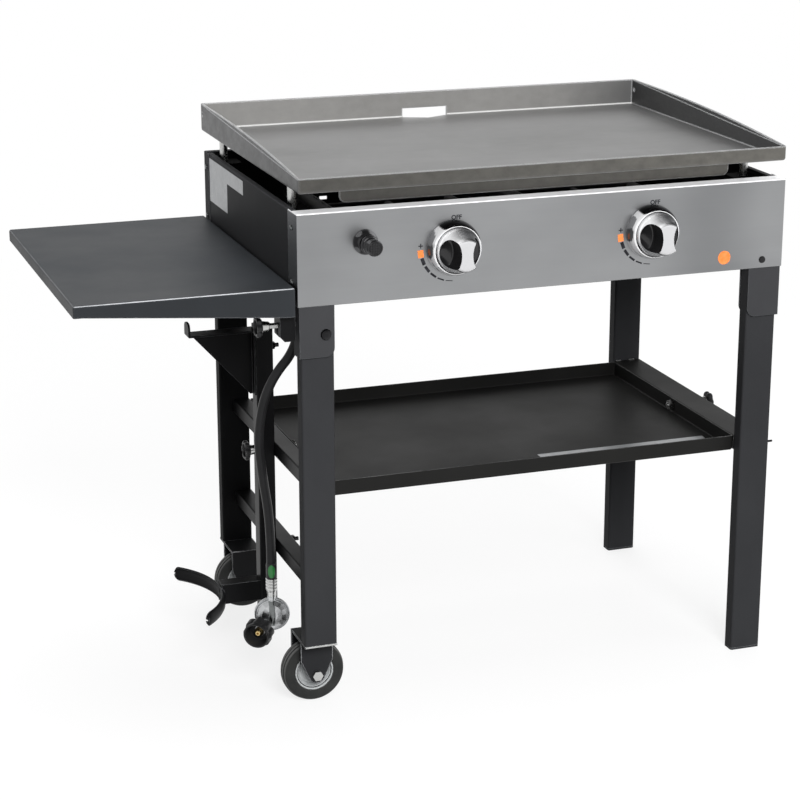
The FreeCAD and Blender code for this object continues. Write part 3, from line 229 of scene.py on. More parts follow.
def satinCoat(name, dark, light, rough=0.54, edgeWearAndHighlight=(0.22, 0.23, 0.24), sheen=0.05, edgeWidth=0.0016, rear=None,
              edgeHighlightNode=None):
    # Baked powder paint: a fine orange peel, faint clouds, and edges lightened partly by rubbing and partly
    # by a painted highlight. rear is the share of the tone left at the rear by a painted shade; the node
    # given for the edge highlight has its top front and left edges painted bright, a painted highlight
    s = {
        "clouds": ((7.0, 7.0, 4.0),), "peel": (900.0, 2.0), "specks": (2600.0, 1.0), "rubs": (30.0, 5.0),
        "patches": (24.0,), "edge": (0.80, 0.985), "cloudTone": (0.3, 0.7, 0.0, 0.7),
        "speckTone": (0.45, 0.75, 0.0, 0.5), "rearPart": (0.0, 0.1), "rubTone": (0.35, 0.6, 0.35, 1.0),
        "patchTone": (0.3, 0.6, 0.45, 1.0), "top": (1.6, 1.1), "front": (1.85, 1.45), "left": (1.95, 1.35),
        "leftShare": 0.22, "glossDown": 0.05, "glossUp": 0.07, "bump": (0.00004, 0.55),
    }
    f = Finish(name, {"Metallic": 0.0, "Specular IOR Level": sheen})
    clouds, peel, specks, rubs = (f.noise(*s[k]) for k in ("clouds", "peel", "specks", "rubs"))
    edge, soft = f.edgeMask(edgeWidth, *s["edge"])
    tone = f.plus(f.remap(clouds, *s["cloudTone"]), f.remap(specks, *s["speckTone"]))
    colour = f.blend(tone, dark, light)
    # Painted shade: darker towards the rear
    if rear is not None:
        colour = f.blend(f.remap(f.axisOf("Object", "Y"), *s["rearPart"]), colour, shade(light, rear))
    # Painted highlight on the given node's top front and left edges, broken into patches
    if edgeHighlightNode is not None:
        low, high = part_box(edgeHighlightNode)
        top = f.remap(f.axisOf("Object", "Z"), *(high.z - mm * d for d in s["top"]))
        front = f.remap(f.axisOf("Object", "Y"), *(low.y + mm * d for d in s["front"]))
        left = f.remap(f.axisOf("Object", "X"), *(low.x + mm * d for d in s["left"]), 0.0, s["leftShare"])
        patches = f.remap(f.noise(*s["patches"]), *s["patchTone"])
        colour = f.blend(f.times(f.times(top, f.most(front, left)), patches), colour, edgeWearAndHighlight)
    # Edges lightened all along, more in rubbed spots: partly wear and partly a painted highlight
    colour = f.blend(f.times(edge, f.remap(rubs, *s["rubTone"])), colour, edgeWearAndHighlight)
    gloss = f.remap(clouds, *noiseEnds, rough - s["glossDown"], rough + s["glossUp"])
    return f.done({"Base Color": colour, "Roughness": gloss}, peel, *s["bump"], soft)


def cookingSteel():
    # Bare rolled steel: mottled floor, side walls darkened by painted shade, a browned outer face, and bends
    # and rims lightened by a painted highlight
    s = {
        "dark": (0.26, 0.258, 0.255), "light": (0.43, 0.43, 0.43), "wall": (0.110, 0.111, 0.112),
        "outside": (0.092, 0.088, 0.078), "rear": (0.30, 0.295, 0.285), "bend": (0.80, 0.81, 0.82),
        "line": (0.66, 0.66, 0.65), "far": (0.75, 0.75, 0.75), "grain": ((14.0, 190.0, 190.0), 4.0, 0.65),
        "patches": ((3.2, 4.6, 4.6), 5.0), "mottle": ((46.0, 52.0, 60.0), 5.0, 0.6),
        "scratches": ((40.0, 900.0, 900.0), 1.0), "patchTone": (0.3, 0.7, 0.0, 0.55), "grainTone": 0.3,
        "mottleTone": (0.35, 0.7, 0.0, 0.22), "farPart": (0.02, 0.24, 0.0, 0.34),
        "upright": (0.4, 0.8, 1.0, 0.0), "sideways": (0.4, 0.8, 0.0, 0.95),
        "facingFront": (-0.8, -0.5, 1.0, 0.0), "frontPart": (-0.20, -0.10, 1.0, 0.0),
        "across": (-0.21, 0.49), "brownMottle": (0.35, 0.65), "browns": ((0.70, 1.30), (1.00, 1.90)),
        "brownShare": 0.9, "rearPart": (0.10, 0.15), "rearMottle": (0.3, 0.7, 0.0, 0.5),
        "rearPatches": (0.35, 0.65, 0.0, 0.5), "rearStain": 0.72, "rearRight": (0.36, 0.48, 0.0, 0.75),
        "edgeWearAndHighlight": (0.0032, 0.86, 0.99), "bendShare": 0.85, "lineFront": (5.85, 4.85),
        "lineRear": (2.85, 2.05), "lineTop": (5.2, 4.4), "bendPaint": 0.6, "metal": (0.0, 1.0, 0.9, 0.35),
        "grainGloss": 0.4, "mottleGloss": 0.6, "gloss": (0.35, 0.65, 0.40, 0.56), "bump": (0.00002, 0.35),
    }
    f = Finish("cookingSteel")
    grain, patches, mottle, scratches = (f.noise(*s[k]) for k in ("grain", "patches", "mottle", "scratches"))
    x, y, z = (f.axisOf("Object", axis) for axis in "XYZ")
    tone = f.plus(f.remap(patches, *s["patchTone"]), f.times(grain, s["grainTone"]))
    tone = f.plus(tone, f.remap(mottle, *s["mottleTone"]))
    colour = f.blend(tone, s["dark"], s["light"])
    colour = f.blend(f.remap(y, *s["farPart"]), colour, s["far"])
    # The side walls, found by their facing, are painted darker: a painted shade
    upright = f.remap(f.size(f.axisOf("Normal", "Z")), *s["upright"])
    sideways = f.remap(f.size(f.axisOf("Normal", "X")), *s["sideways"])
    colour = f.blend(f.times(upright, sideways), colour, s["wall"])
    # The front wall's outside is browned, and lighter to the right
    facingFront = f.remap(f.axisOf("Normal", "Y"), *s["facingFront"])
    across = f.remap(x, *s["across"])
    browns = [f.blend(across, *(shade(s["outside"], share) for share in pair)) for pair in s["browns"]]
    browned = f.blend(f.remap(mottle, *s["brownMottle"]), *browns)
    outside = f.times(facingFront, f.remap(y, *s["frontPart"]))
    colour = f.blend(f.times(outside, s["brownShare"]), colour, browned)
    # The rear wall's inside catches the light from the front, and less at its right end
    back = f.times(facingFront, f.remap(y, *s["rearPart"]))
    stain = f.plus(f.remap(mottle, *s["rearMottle"]), f.remap(patches, *s["rearPatches"]))
    colour = f.blend(back, colour, f.blend(stain, shade(s["rear"], s["rearStain"]), s["rear"]))
    colour = f.blend(f.times(back, f.remap(x, *s["rearRight"])), colour, s["wall"])
    # Bends and rims are painted bright, a painted highlight with less metal
    edge, soft = f.edgeMask(*s["edgeWearAndHighlight"])
    colour = f.blend(f.times(edge, s["bendShare"]), colour, s["bend"])
    # A painted highlight along the bend between the floor and the rear wall
    low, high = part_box("griddle_plate")
    line = f.times(f.remap(y, *(high.y - mm * d for d in s["lineFront"])),
                   f.remap(z, *(low.z + mm * d for d in s["lineTop"])))
    line = f.times(line, f.remap(y, *(high.y - mm * d for d in s["lineRear"]), 1.0, 0.0))
    colour = f.blend(line, colour, s["line"])
    painted = f.most(f.most(back, line), f.times(edge, s["bendPaint"]))
    gloss = f.plus(f.times(grain, s["grainGloss"]), f.times(mottle, s["mottleGloss"]))
    values = {"Metallic": f.remap(painted, *s["metal"]), "Roughness": f.remap(gloss, *s["gloss"])}
    return f.done({"Base Color": colour, **values}, scratches, *s["bump"], soft)


def metalFinish(name, dark, light, rough, grainSize, depth, metallic=1.0):
    # Plain metals: blotchy tone, fine grain in the gloss and in the bump, brighter edges
    s = {"grainDetail": 3.0, "blotches": 28.0, "edgeWearAndHighlight": (0.0006, 0.80, 0.98),
         "blotchTone": (0.3, 0.7, 0.0, 0.6), "grainTone": 0.4, "brighter": 1.25, "lift": 0.06,
         "edgeShare": 0.6, "glossLow": 0.8, "glossHigh": 1.25}
    f = Finish(name, {"Metallic": metallic})
    grain, blotches = f.noise(grainSize, s["grainDetail"]), f.noise(s["blotches"])
    edge, soft = f.edgeMask(*s["edgeWearAndHighlight"])
    tone = f.plus(f.remap(blotches, *s["blotchTone"]), f.times(grain, s["grainTone"]))
    bright = tuple(min(1.0, s["brighter"] * c + s["lift"]) for c in light)
    colour = f.blend(f.times(edge, s["edgeShare"]), f.blend(tone, dark, light), bright)
    gloss = f.remap(grain, *noiseEnds, rough * s["glossLow"], rough * s["glossHigh"])
    return f.done({"Base Color": colour, "Roughness": gloss}, grain, depth, base=soft)


def platingWithPaintedReflections(name, plain, rough, bands):
    # Polished plating with painted reflections: plain is its tone and its share of metal; each band, bright
    # or
    # dark, is a painted reflection: the way it faces, the match where it starts and is full, its tone and its
    # share of metal
    s = {"grain": (60.0, 3.0), "darker": 0.9, "wave": (0.3, 0.7, 0.0, 0.03), "glossLow": 0.8,
         "glossHigh": 1.2}
    f = Finish(name)
    grain = f.noise(*s["grain"])
    normal = f.out("ShaderNodeTexCoord", output="Normal")
    tone, share = plain
    colour = f.blend(grain, shade(tone, s["darker"]), tone)
    # Each band paints a reflection on the faces that turn its way
    for way, low, high, tone, metal in bands:
        match = f.out("ShaderNodeVectorMath", {0: normal, 1: Vector(way).normalized()}, "Value",
                      operation="DOT_PRODUCT")
        inside = f.remap(f.plus(match, f.remap(grain, *s["wave"])), low, high)
        colour = f.blend(inside, colour, tone)
        share = f.remap(inside, 0.0, 1.0, share, metal)
    gloss = f.remap(grain, *noiseEnds, rough * s["glossLow"], rough * s["glossHigh"])
    return f.done({"Base Color": colour, "Metallic": share, "Roughness": gloss})


def plasticFinish(name, dark, light, rough, depth, grainSize=1400.0, shine=0.5):
    # Moulded plastic and rubber: spark-eroded grain, uneven gloss and dusty clouds
    s = {"grainDetail": 2.0, "clouds": 22.0, "edgeWearAndHighlight": (0.0005, 0.80, 0.98), "cloudTone": (0.3, 0.7, 0.0, 0.8),
         "edgeTone": 0.5, "glossDown": 0.06, "glossUp": 0.08}
    f = Finish(name, {"Metallic": 0.0, "Specular IOR Level": shine})
    grain, clouds = f.noise(grainSize, s["grainDetail"]), f.noise(s["clouds"])
    edge, soft = f.edgeMask(*s["edgeWearAndHighlight"])
    tone = f.plus(f.remap(clouds, *s["cloudTone"]), f.times(edge, s["edgeTone"]))
    gloss = f.remap(clouds, *noiseEnds, rough - s["glossDown"], rough + s["glossUp"])
    return f.done({"Base Color": f.blend(tone, dark, light), "Roughness": gloss}, grain, depth, base=soft)


def tyreFinish():
    # Rubber: dark moulded sides and a tread that has greyed with wear
    s = {"dark": (0.014, 0.0143, 0.0142), "light": (0.033, 0.0338, 0.033), "tread": (0.13, 0.13, 0.128),
         "ribs": (0.24, 0.24, 0.235), "shine": 0.25, "dust": (34.0, 5.0), "grain": (1200.0, 2.0),
         "edgeWearAndHighlight": (0.0010, 0.82, 0.985), "side": (0.30, 0.75), "treadDust": 0.3,
         "sideDust": (0.35, 0.7, 0.0, 0.8), "gloss": (0.3, 0.7, 0.5, 0.68), "bump": (0.00006, 0.6)}
    f = Finish("tyreFinish", {"Metallic": 0.0, "Specular IOR Level": s["shine"]})
    dust, grain = f.noise(*s["dust"]), f.noise(*s["grain"])
    edge, soft = f.edgeMask(*s["edgeWearAndHighlight"])
    side = f.remap(f.size(f.axisOf("Normal", "Y")), *s["side"])
    tread = f.blend(f.plus(edge, f.times(dust, s["treadDust"])), s["tread"], s["ribs"])
    flank = f.blend(f.remap(dust, *s["sideDust"]), s["dark"], s["light"])
    values = {"Base Color": f.blend(side, tread, flank), "Roughness": f.remap(dust, *s["gloss"])}
    return f.done(values, grain, *s["bump"], soft)


def printFinish(name, colour, faded):
    # Screen print: a thin ink that is slightly uneven
    s = {"shine": 0.08, "ink": 220.0, "inkTone": (0.35, 0.7), "gloss": (0.3, 0.7, 0.38, 0.52)}
    f = Finish(name, {"Metallic": 0.0, "Specular IOR Level": s["shine"]})
    ink = f.noise(s["ink"])
    tone = f.blend(f.remap(ink, *s["inkTone"]), colour, faded)
    return f.done({"Base Color": tone, "Roughness": f.remap(ink, *s["gloss"])})


coat = ((0.026, 0.0265, 0.0285), (0.040, 0.0408, 0.0435))
finishes = {material.name: material for material in (
    brushedSteel(), cookingSteel(), tyreFinish(),
    # legCoat: the left legs are painted darker towards the rear, a painted shade
    satinCoat("satinCoat", *coat), satinCoat("legCoat", *coat, rear=0.12),
    satinCoat("sleeveCoat", (0.036, 0.0365, 0.039), (0.056, 0.0568, 0.060)),
    # shelfCoat: a painted highlight on the shelf's top front and left edges
    satinCoat("shelfCoat", (0.014, 0.0158, 0.018), (0.025, 0.028, 0.032), 0.50, (0.46, 0.47, 0.49), 0.28,
              0.0022, edgeHighlightNode="side_shelf"),
    # insideCoat: a darker copy of the coat for the bottom shelf and right cross bar, a painted shade under
    # the box
    satinCoat("insideCoat", (0.007, 0.007, 0.0068), (0.0135, 0.0133, 0.0127), 0.50, (0.14, 0.14, 0.14), 0.14),
    # A near-black coat for the parts under the plate, a painted shade
    satinCoat("sootCoat", (0.0022, 0.0022, 0.0022), (0.0045, 0.0044, 0.0042), 0.7, (0.01, 0.01, 0.01), 0.03),
    satinCoat("barCoat", (0.0036, 0.0036, 0.004), (0.0085, 0.0085, 0.009), 0.36, (0.16, 0.165, 0.17), 0.09),
    # casterCoat: a painted shade on the rear brackets, and wide bright edges, partly wear and partly a
    # painted highlight
    satinCoat("casterCoat", (0.014, 0.0143, 0.0155), (0.028, 0.0285, 0.0305), 0.48, (0.75, 0.76, 0.78), 0.10,
              0.0024, 0.4),
    # The knobs' satin, the bezels' chrome and the igniter's black chrome carry painted reflections in bands
    platingWithPaintedReflections("satinSilver", ((0.62, 0.62, 0.63), 0.7), 0.24, (
        ((-0.75, -0.45, 0.45), 0.72, 0.97, (0.97, 0.97, 0.98), 0.4),
        ((0.55, -0.30, 0.78), 0.74, 0.98, (0.10, 0.10, 0.105), 0.9),
        ((0.0, -1.0, 0.0), 0.90, 0.97, (0.60, 0.60, 0.61), 0.45))),
    platingWithPaintedReflections("bezelChrome", ((0.93, 0.93, 0.94), 0.45), 0.08, (
        ((-0.98, -0.1, 0.04), 0.952, 0.968, (0.10, 0.10, 0.105), 0.6),
        ((-0.90, -0.1, 0.44), 0.972, 0.986, (0.30, 0.30, 0.31), 0.6),
        ((0.326, -0.1, 0.945), 0.58, 0.64, (0.010, 0.010, 0.011), 0.9))),
    platingWithPaintedReflections("blackChrome", ((0.038, 0.038, 0.040), 0.8), 0.12, (
        ((0.55, -0.35, 0.76), 0.90, 0.97, (0.42, 0.42, 0.43), 0.8),
        ((-0.80, -0.3, -0.50), 0.955, 0.98, (0.22, 0.22, 0.225), 0.8),
        ((-0.64, -0.2, 0.76), 0.962, 0.985, (0.24, 0.24, 0.245), 0.7))),
    metalFinish("blackOxide", (0.012, 0.012, 0.013), (0.05, 0.05, 0.052), 0.30, 300.0, 0.00001),
    # Near-black metal for the burners under the plate, a painted shade
    metalFinish("sootMetal", (0.010, 0.010, 0.010), (0.04, 0.04, 0.038), 0.5, 420.0, 0.00002, 0.5),
    metalFinish("ridgeMetal", (0.13, 0.14, 0.14), (0.24, 0.25, 0.25), 0.30, 300.0, 0.00001),
    metalFinish("zincSteel", (0.46, 0.46, 0.45), (0.66, 0.665, 0.66), 0.27, 380.0, 0.00001),
    metalFinish("bareSteel", (0.30, 0.30, 0.295), (0.46, 0.455, 0.44), 0.38, 420.0, 0.00002),
    metalFinish("brassFinish", (0.50, 0.36, 0.14), (0.78, 0.60, 0.30), 0.22, 500.0, 0.00001),
    metalFinish("dieCast", (0.40, 0.41, 0.42), (0.62, 0.63, 0.64), 0.30, 240.0, 0.00005),
    metalFinish("stickerFoil", (0.30, 0.31, 0.32), (0.42, 0.43, 0.44), 0.34, 160.0, 0.00001, 0.6),
    plasticFinish("glossBlack", (0.005, 0.005, 0.0055), (0.014, 0.014, 0.015), 0.16, 0.00001),
    plasticFinish("blackPlastic", (0.007, 0.007, 0.0075), (0.022, 0.022, 0.023), 0.36, 0.00003, shine=0.3),
    plasticFinish("greyPlastic", (0.40, 0.415, 0.42), (0.55, 0.565, 0.57), 0.36, 0.00003),
    plasticFinish("greenPlastic", (0.012, 0.10, 0.022), (0.04, 0.25, 0.06), 0.25, 0.00001),
    plasticFinish("ceramicFinish", (0.70, 0.69, 0.65), (0.84, 0.83, 0.80), 0.16, 0.00001),
    plasticFinish("hoseRubber", (0.009, 0.009, 0.0095), (0.018, 0.018, 0.019), 0.34, 0.00003, 500.0, 0.16),
    printFinish("blackPrint", (0.012, 0.012, 0.014), (0.035, 0.035, 0.04)),
    printFinish("orangePrint", (0.95, 0.23, 0.055), (1.0, 0.30, 0.10)),
)}
print("finishes made:", len(finishes))

nodeFinishes = {
    "brushedSteel": ("control_panel",),
    "satinCoat": ("rear_panel", "side_panels", "right_legs", "tube_caps", "cup_bracket"),
    "sleeveCoat": ("leg_sleeves",),
    "legCoat": ("left_legs",),
    "shelfCoat": ("side_shelf",),
    "barCoat": ("tank_bar", "tank_hook", "left_cross_bars", "shelf_brackets"),
    "casterCoat": ("caster_brackets",),
    "insideCoat": ("bottom_shelf", "right_cross_bar"),
    # The parts under the plate are near black, a painted shade
    "sootCoat": ("fire_pan", "plate_seats", "heat_baffle", "burner_rails"),
    "sootMetal": ("burners",),
    "blackOxide": ("pivot_bolts", "leg_hook"),
    "cookingSteel": ("griddle_plate", "plate_rib"),
    "zincSteel": ("axle_bolts", "hose_crimp", "manifold_saddles", "weld_nuts", "plate_pegs"),
    "bareSteel": ("manifold", "gas_inlet", "grease_cup", "valve_stem_left", "valve_stem_right",
                  "valve_collar_left", "valve_collar_right"),
    "brassFinish": ("gas_valves", "gas_nipple"),
    "blackPlastic": ("igniter_body", "panel_plug"),
    "ceramicFinish": ("electrodes",),
}


def dressNode(name, finish):
    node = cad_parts[name]
    if not node.material_slots:
        node.data.materials.append(None)
    for place in node.material_slots:
        place.material = finishes[finish]


for finish, names in nodeFinishes.items():
    for name in names:
        dressNode(name, finish)
print("nodes dressed:", sum(len(names) for names in nodeFinishes.values()))


# Mesh helpers. A shape is placed in metres as it is made, or afterwards by addPiece
def metrePlace(point, axis):
    turn = Vector(axis).normalized().to_track_quat("Z", "Y").to_matrix().to_4x4()
    return Matrix.Translation(point) @ turn @ Matrix.Scale(mm, 4)


def axisPlace(centre, axis):
    return metrePlace(spot(*centre), axis)


def eased(points, reach, steps=4):
    # A closed profile with each corner rounded over that reach to both sides; points on the axis stay
    longestCut = 0.45
    result = []
    for k, (r, d) in enumerate(points):
        if r < tiny:
            result.append((r, d))
            continue
        here = Vector((r, d))
        ways = [Vector(other) - here for other in (points[k - 1], points[(k + 1) % len(points)])]
        ends = [here + way * min(longestCut, reach / max(way.length, tiny)) for way in ways]
        for i in range(steps + 1):
            t = i / steps
            result.append(tuple((1 - t) ** 2 * ends[0] + 2 * t * (1 - t) * here + t * t * ends[1]))
    return result


def mirrored(half):
    return half + [(r, -d) for r, d in half[::-1]]


def around(count, level, reach):
    # A closed loop about Z; reach is its radius, or gives the radius for an angle
    angles = [2 * math.pi * k / count for k in range(count)]
    radii = [reach(a) if callable(reach) else reach for a in angles]
    return [(r * math.cos(a), r * math.sin(a), level) for r, a in zip(radii, angles)]


def turned(profile, steps=72, bm=None, place=None):
    bm = bm or bmesh.new()
    place = place or Matrix.Identity(4)
    rings = []
    for k in range(steps):
        angle = 2 * math.pi * k / steps
        points = [Vector((r * math.cos(angle), r * math.sin(angle), d)) for r, d in profile]
        rings.append([bm.verts.new(place @ point) for point in points])
    for k in range(steps):
        a, b = rings[k], rings[(k + 1) % steps]
        for i in range(len(profile)):
            j = (i + 1) % len(profile)
            if max(profile[i][0], profile[j][0]) > tiny:
                bm.faces.new((a[i], a[j], b[j], b[i]))
    return bm


def lathed(profile, bm=None, place=None):
    # profile is its points, the reach and steps that round its corners, and the steps around
    points, reach, cornerSteps, steps = profile
    return turned(eased(points, reach, cornerSteps), steps, bm, place)


def lofted(loops, bm=None, place=None, capped=True):
    bm = bm or bmesh.new()
    place = place or Matrix.Identity(4)
    rows = [[bm.verts.new(place @ Vector(p)) for p in loop] for loop in loops]
    count = len(rows[0])
    for a, b in zip(rows, rows[1:]):
        for k in range(count):
            bm.faces.new((a[k], a[(k + 1) % count], b[(k + 1) % count], b[k]))
    if capped:
        bm.faces.new(rows[0][::-1])
        bm.faces.new(rows[-1])
    return bm


def boxed(size, centre, bm=None, place=None):
    x, y, z = centre
    wide, deep, high = (v / 2 for v in size)
    loops = [[(x + wide * a, y + deep * b, z + high * c) for a, b in ((-1, -1), (1, -1), (1, 1), (-1, 1))]
             for c in (-1, 1)]
    return lofted(loops, bm, place)


softAngle = 38.0
mergeWithin = 0.0004
flatArea = 1e-16


def shadeMesh(mesh, sharp=softAngle):
    mesh.polygons.foreach_set("use_smooth", [True] * len(mesh.polygons))
    mesh.set_sharp_from_angle(angle=math.radians(sharp))


def asMesh(name, bm, place=None, sharp=softAngle):
    bmesh.ops.remove_doubles(bm, verts=bm.verts, dist=mergeWithin)
    if place:
        bmesh.ops.transform(bm, matrix=place, verts=bm.verts)
    flat = [f for f in bm.faces if f.calc_area() < flatArea]
    bmesh.ops.delete(bm, geom=flat, context="FACES_ONLY")
    bmesh.ops.recalc_face_normals(bm, faces=bm.faces)
    mesh = bpy.data.meshes.new(name)
    bm.to_mesh(mesh)
    bm.free()
    shadeMesh(mesh, sharp)
    return mesh


def addPiece(name, shape, finish, body="stand", replaced=(), place=None, sharp=softAngle):
    # shape is a bmesh, or a mesh that is in place; finishes that a mesh brings with it stay
    mesh = asMesh(name, shape, place, sharp) if isinstance(shape, bmesh.types.BMesh) else shape
    if not any(mesh.materials):
        mesh.materials.clear()
        mesh.materials.append(finishes[finish])
    piece = addObject(name, mesh)
    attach(piece, body)
    if replaced:
        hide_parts(*replaced)
    return piece


def plainMesh(holder):
    bpy.context.view_layer.update()
    graph = bpy.context.evaluated_depsgraph_get()
    return bpy.data.meshes.new_from_object(holder.evaluated_get(graph))


# Geometry Nodes trees for what repeats
def newTree(name, sockets):
    tree = bpy.data.node_groups.new(name, "GeometryNodeTree")
    for socket, kind in {"Geometry": "Geometry", "piece": "Object", **sockets}.items():
        tree.interface.new_socket(socket, in_out="INPUT", socket_type="NodeSocket" + kind)
    tree.interface.new_socket("Geometry", in_out="OUTPUT", socket_type="NodeSocketGeometry")
    g = Nodes(tree)
    given = g.add("NodeGroupInput").outputs
    return g, given, g.out("GeometryNodeObjectInfo", {"Object": given["piece"]}, "Geometry")


def closeTree(g, instances):
    g.add("NodeGroupOutput", {0: g.out("GeometryNodeRealizeInstances", {0: instances})})
    return g.tree


def arcTree():
    # Copies of a piece on an arc around local Z, each turned with it and narrowed evenly towards the last
    g, given, source = newTree("arcOfPieces", {"count": "Int", "radius": "Float", "start": "Float",
                                               "step": "Float", "lastScale": "Float"})

    def maths(operation, first, second=0.0):
        return g.maths(operation, first, second, False)
    index = g.out("GeometryNodeInputIndex")
    angle = maths("ADD", given["start"], maths("MULTIPLY", index, given["step"]))
    x, y = (maths("MULTIPLY", given["radius"], maths(way, angle)) for way in ("COSINE", "SINE"))
    points = g.out("GeometryNodeMeshLine", {"Count": given["count"]})
    there = g.out("ShaderNodeCombineXYZ", {"X": x, "Y": y})
    placed = g.out("GeometryNodeSetPosition", {"Geometry": points, "Position": there})
    share = maths("DIVIDE", index, maths("MAXIMUM", maths("SUBTRACT", given["count"], 1.0), 1.0))
    width = maths("ADD", 1.0, maths("MULTIPLY", share, maths("SUBTRACT", given["lastScale"], 1.0)))
    turnBy = g.out("FunctionNodeEulerToRotation", {0: g.out("ShaderNodeCombineXYZ", {"Z": angle})})
    scale = g.out("ShaderNodeCombineXYZ", {"X": width, "Y": 1.0, "Z": 1.0})
    copies = {"Points": placed, "Instance": source, "Rotation": turnBy, "Scale": scale}
    return closeTree(g, g.out("GeometryNodeInstanceOnPoints", copies))


def spotTree():
    # A piece on every point of the host, standing along the point's facing, with a random turn about it
    g, given, source = newTree("piecesOnSpots", {"turn": "Float", "seed": "Int"})
    facing = g.out("GeometryNodeInputNamedAttribute", {"Name": "facing"}, data_type="FLOAT_VECTOR")
    align = g.out("FunctionNodeAlignRotationToVector", {"Vector": facing}, axis="Z")
    copies = g.out("GeometryNodeInstanceOnPoints",
                   {"Points": given["Geometry"], "Instance": source, "Rotation": align})
    about = g.add("FunctionNodeRandomValue", {"Seed": given["seed"]}, data_type="FLOAT")
    g.feed(next(i for i in about.inputs if i.name == "Max" and i.type == "VALUE"), given["turn"])
    value = next(o for o in about.outputs if o.type == "VALUE")
    spin = g.out("FunctionNodeEulerToRotation", {0: g.out("ShaderNodeCombineXYZ", {"Z": value})})
    return closeTree(g, g.out("GeometryNodeRotateInstances", {"Instances": copies, "Rotation": spin}))


arcOfPieces = arcTree()
piecesOnSpots = spotTree()


def repeated(tree, hostMesh, sample, place, values):
    # The sample repeated by the tree on the host's points, as one mesh
    host, template = addObject("host", hostMesh), addObject("template", sample)
    modifier = host.modifiers.new("repeat", "NODES")
    modifier.node_group = tree
    inputs = {"piece": template, **values}
    for item in tree.interface.items_tree:
        if item.item_type == "SOCKET" and item.in_out == "INPUT" and item.name in inputs:
            modifier[item.identifier] = inputs[item.name]
    mesh = plainMesh(host)
    for helper in (host, template):
        bpy.data.objects.remove(helper)
    mesh.transform(place)
    shadeMesh(mesh)
    return mesh


def putOnSpots(name, sample, spots, finish, **values):
    # spots holds (place, facing) pairs in the panel's frame
    host = bpy.data.meshes.new("spots")
    host.from_pydata([spot(*place) for place, facing in spots], [], [])
    attribute = host.attributes.new("facing", "FLOAT_VECTOR", "POINT")
    attribute.data.foreach_set("vector", [c for place, facing in spots for c in facing])
    return addPiece(name, repeated(piecesOnSpots, host, sample, Matrix.Identity(4), values), finish)


def putOnArc(name, sample, place, finish, body, **values):
    host = bpy.data.meshes.new("host")
    return addPiece(name, repeated(arcOfPieces, host, sample, place, values), finish, body)


# Gas hose: the route's points from the part's source, its order set after they are added
hoseSettings = {
    "route": ((-333.5, 62.0, 566.0), (-333.5, 62.0, 515.0), (-374.0, 88.0, 455.0), (-387.0, 98.0, 381.0),
              (-380.0, 100.0, 316.0), (-370.0, 101.0, 250.0), (-370.0, 101.0, 190.0)),
    "diameter": 13.0,
    "length": 0.388,
    "order": 3,
    "steps": 24,
    "roundSteps": 10,
}


def addHose():
    s = hoseSettings
    data = bpy.data.curves.new("gasHose", "CURVE")
    data.dimensions = "3D"
    data.resolution_u = s["steps"]
    data.bevel_depth = s["diameter"] / 2 * mm
    data.bevel_resolution = s["roundSteps"]
    data.use_fill_caps = True
    line = data.splines.new("NURBS")
    line.points.add(len(s["route"]) - 1)
    for point, place in zip(line.points, s["route"]):
        point.co = (*spot(*place), 1.0)
    line.order_u = s["order"]
    line.use_endpoint_u = True
    line.resolution_u = s["steps"]
    hose = addObject("gasHose", data)
    data.materials.append(finishes["hoseRubber"])
    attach(hose, "stand")
    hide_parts("gas_hose")
    return hose


gasHose = addHose()

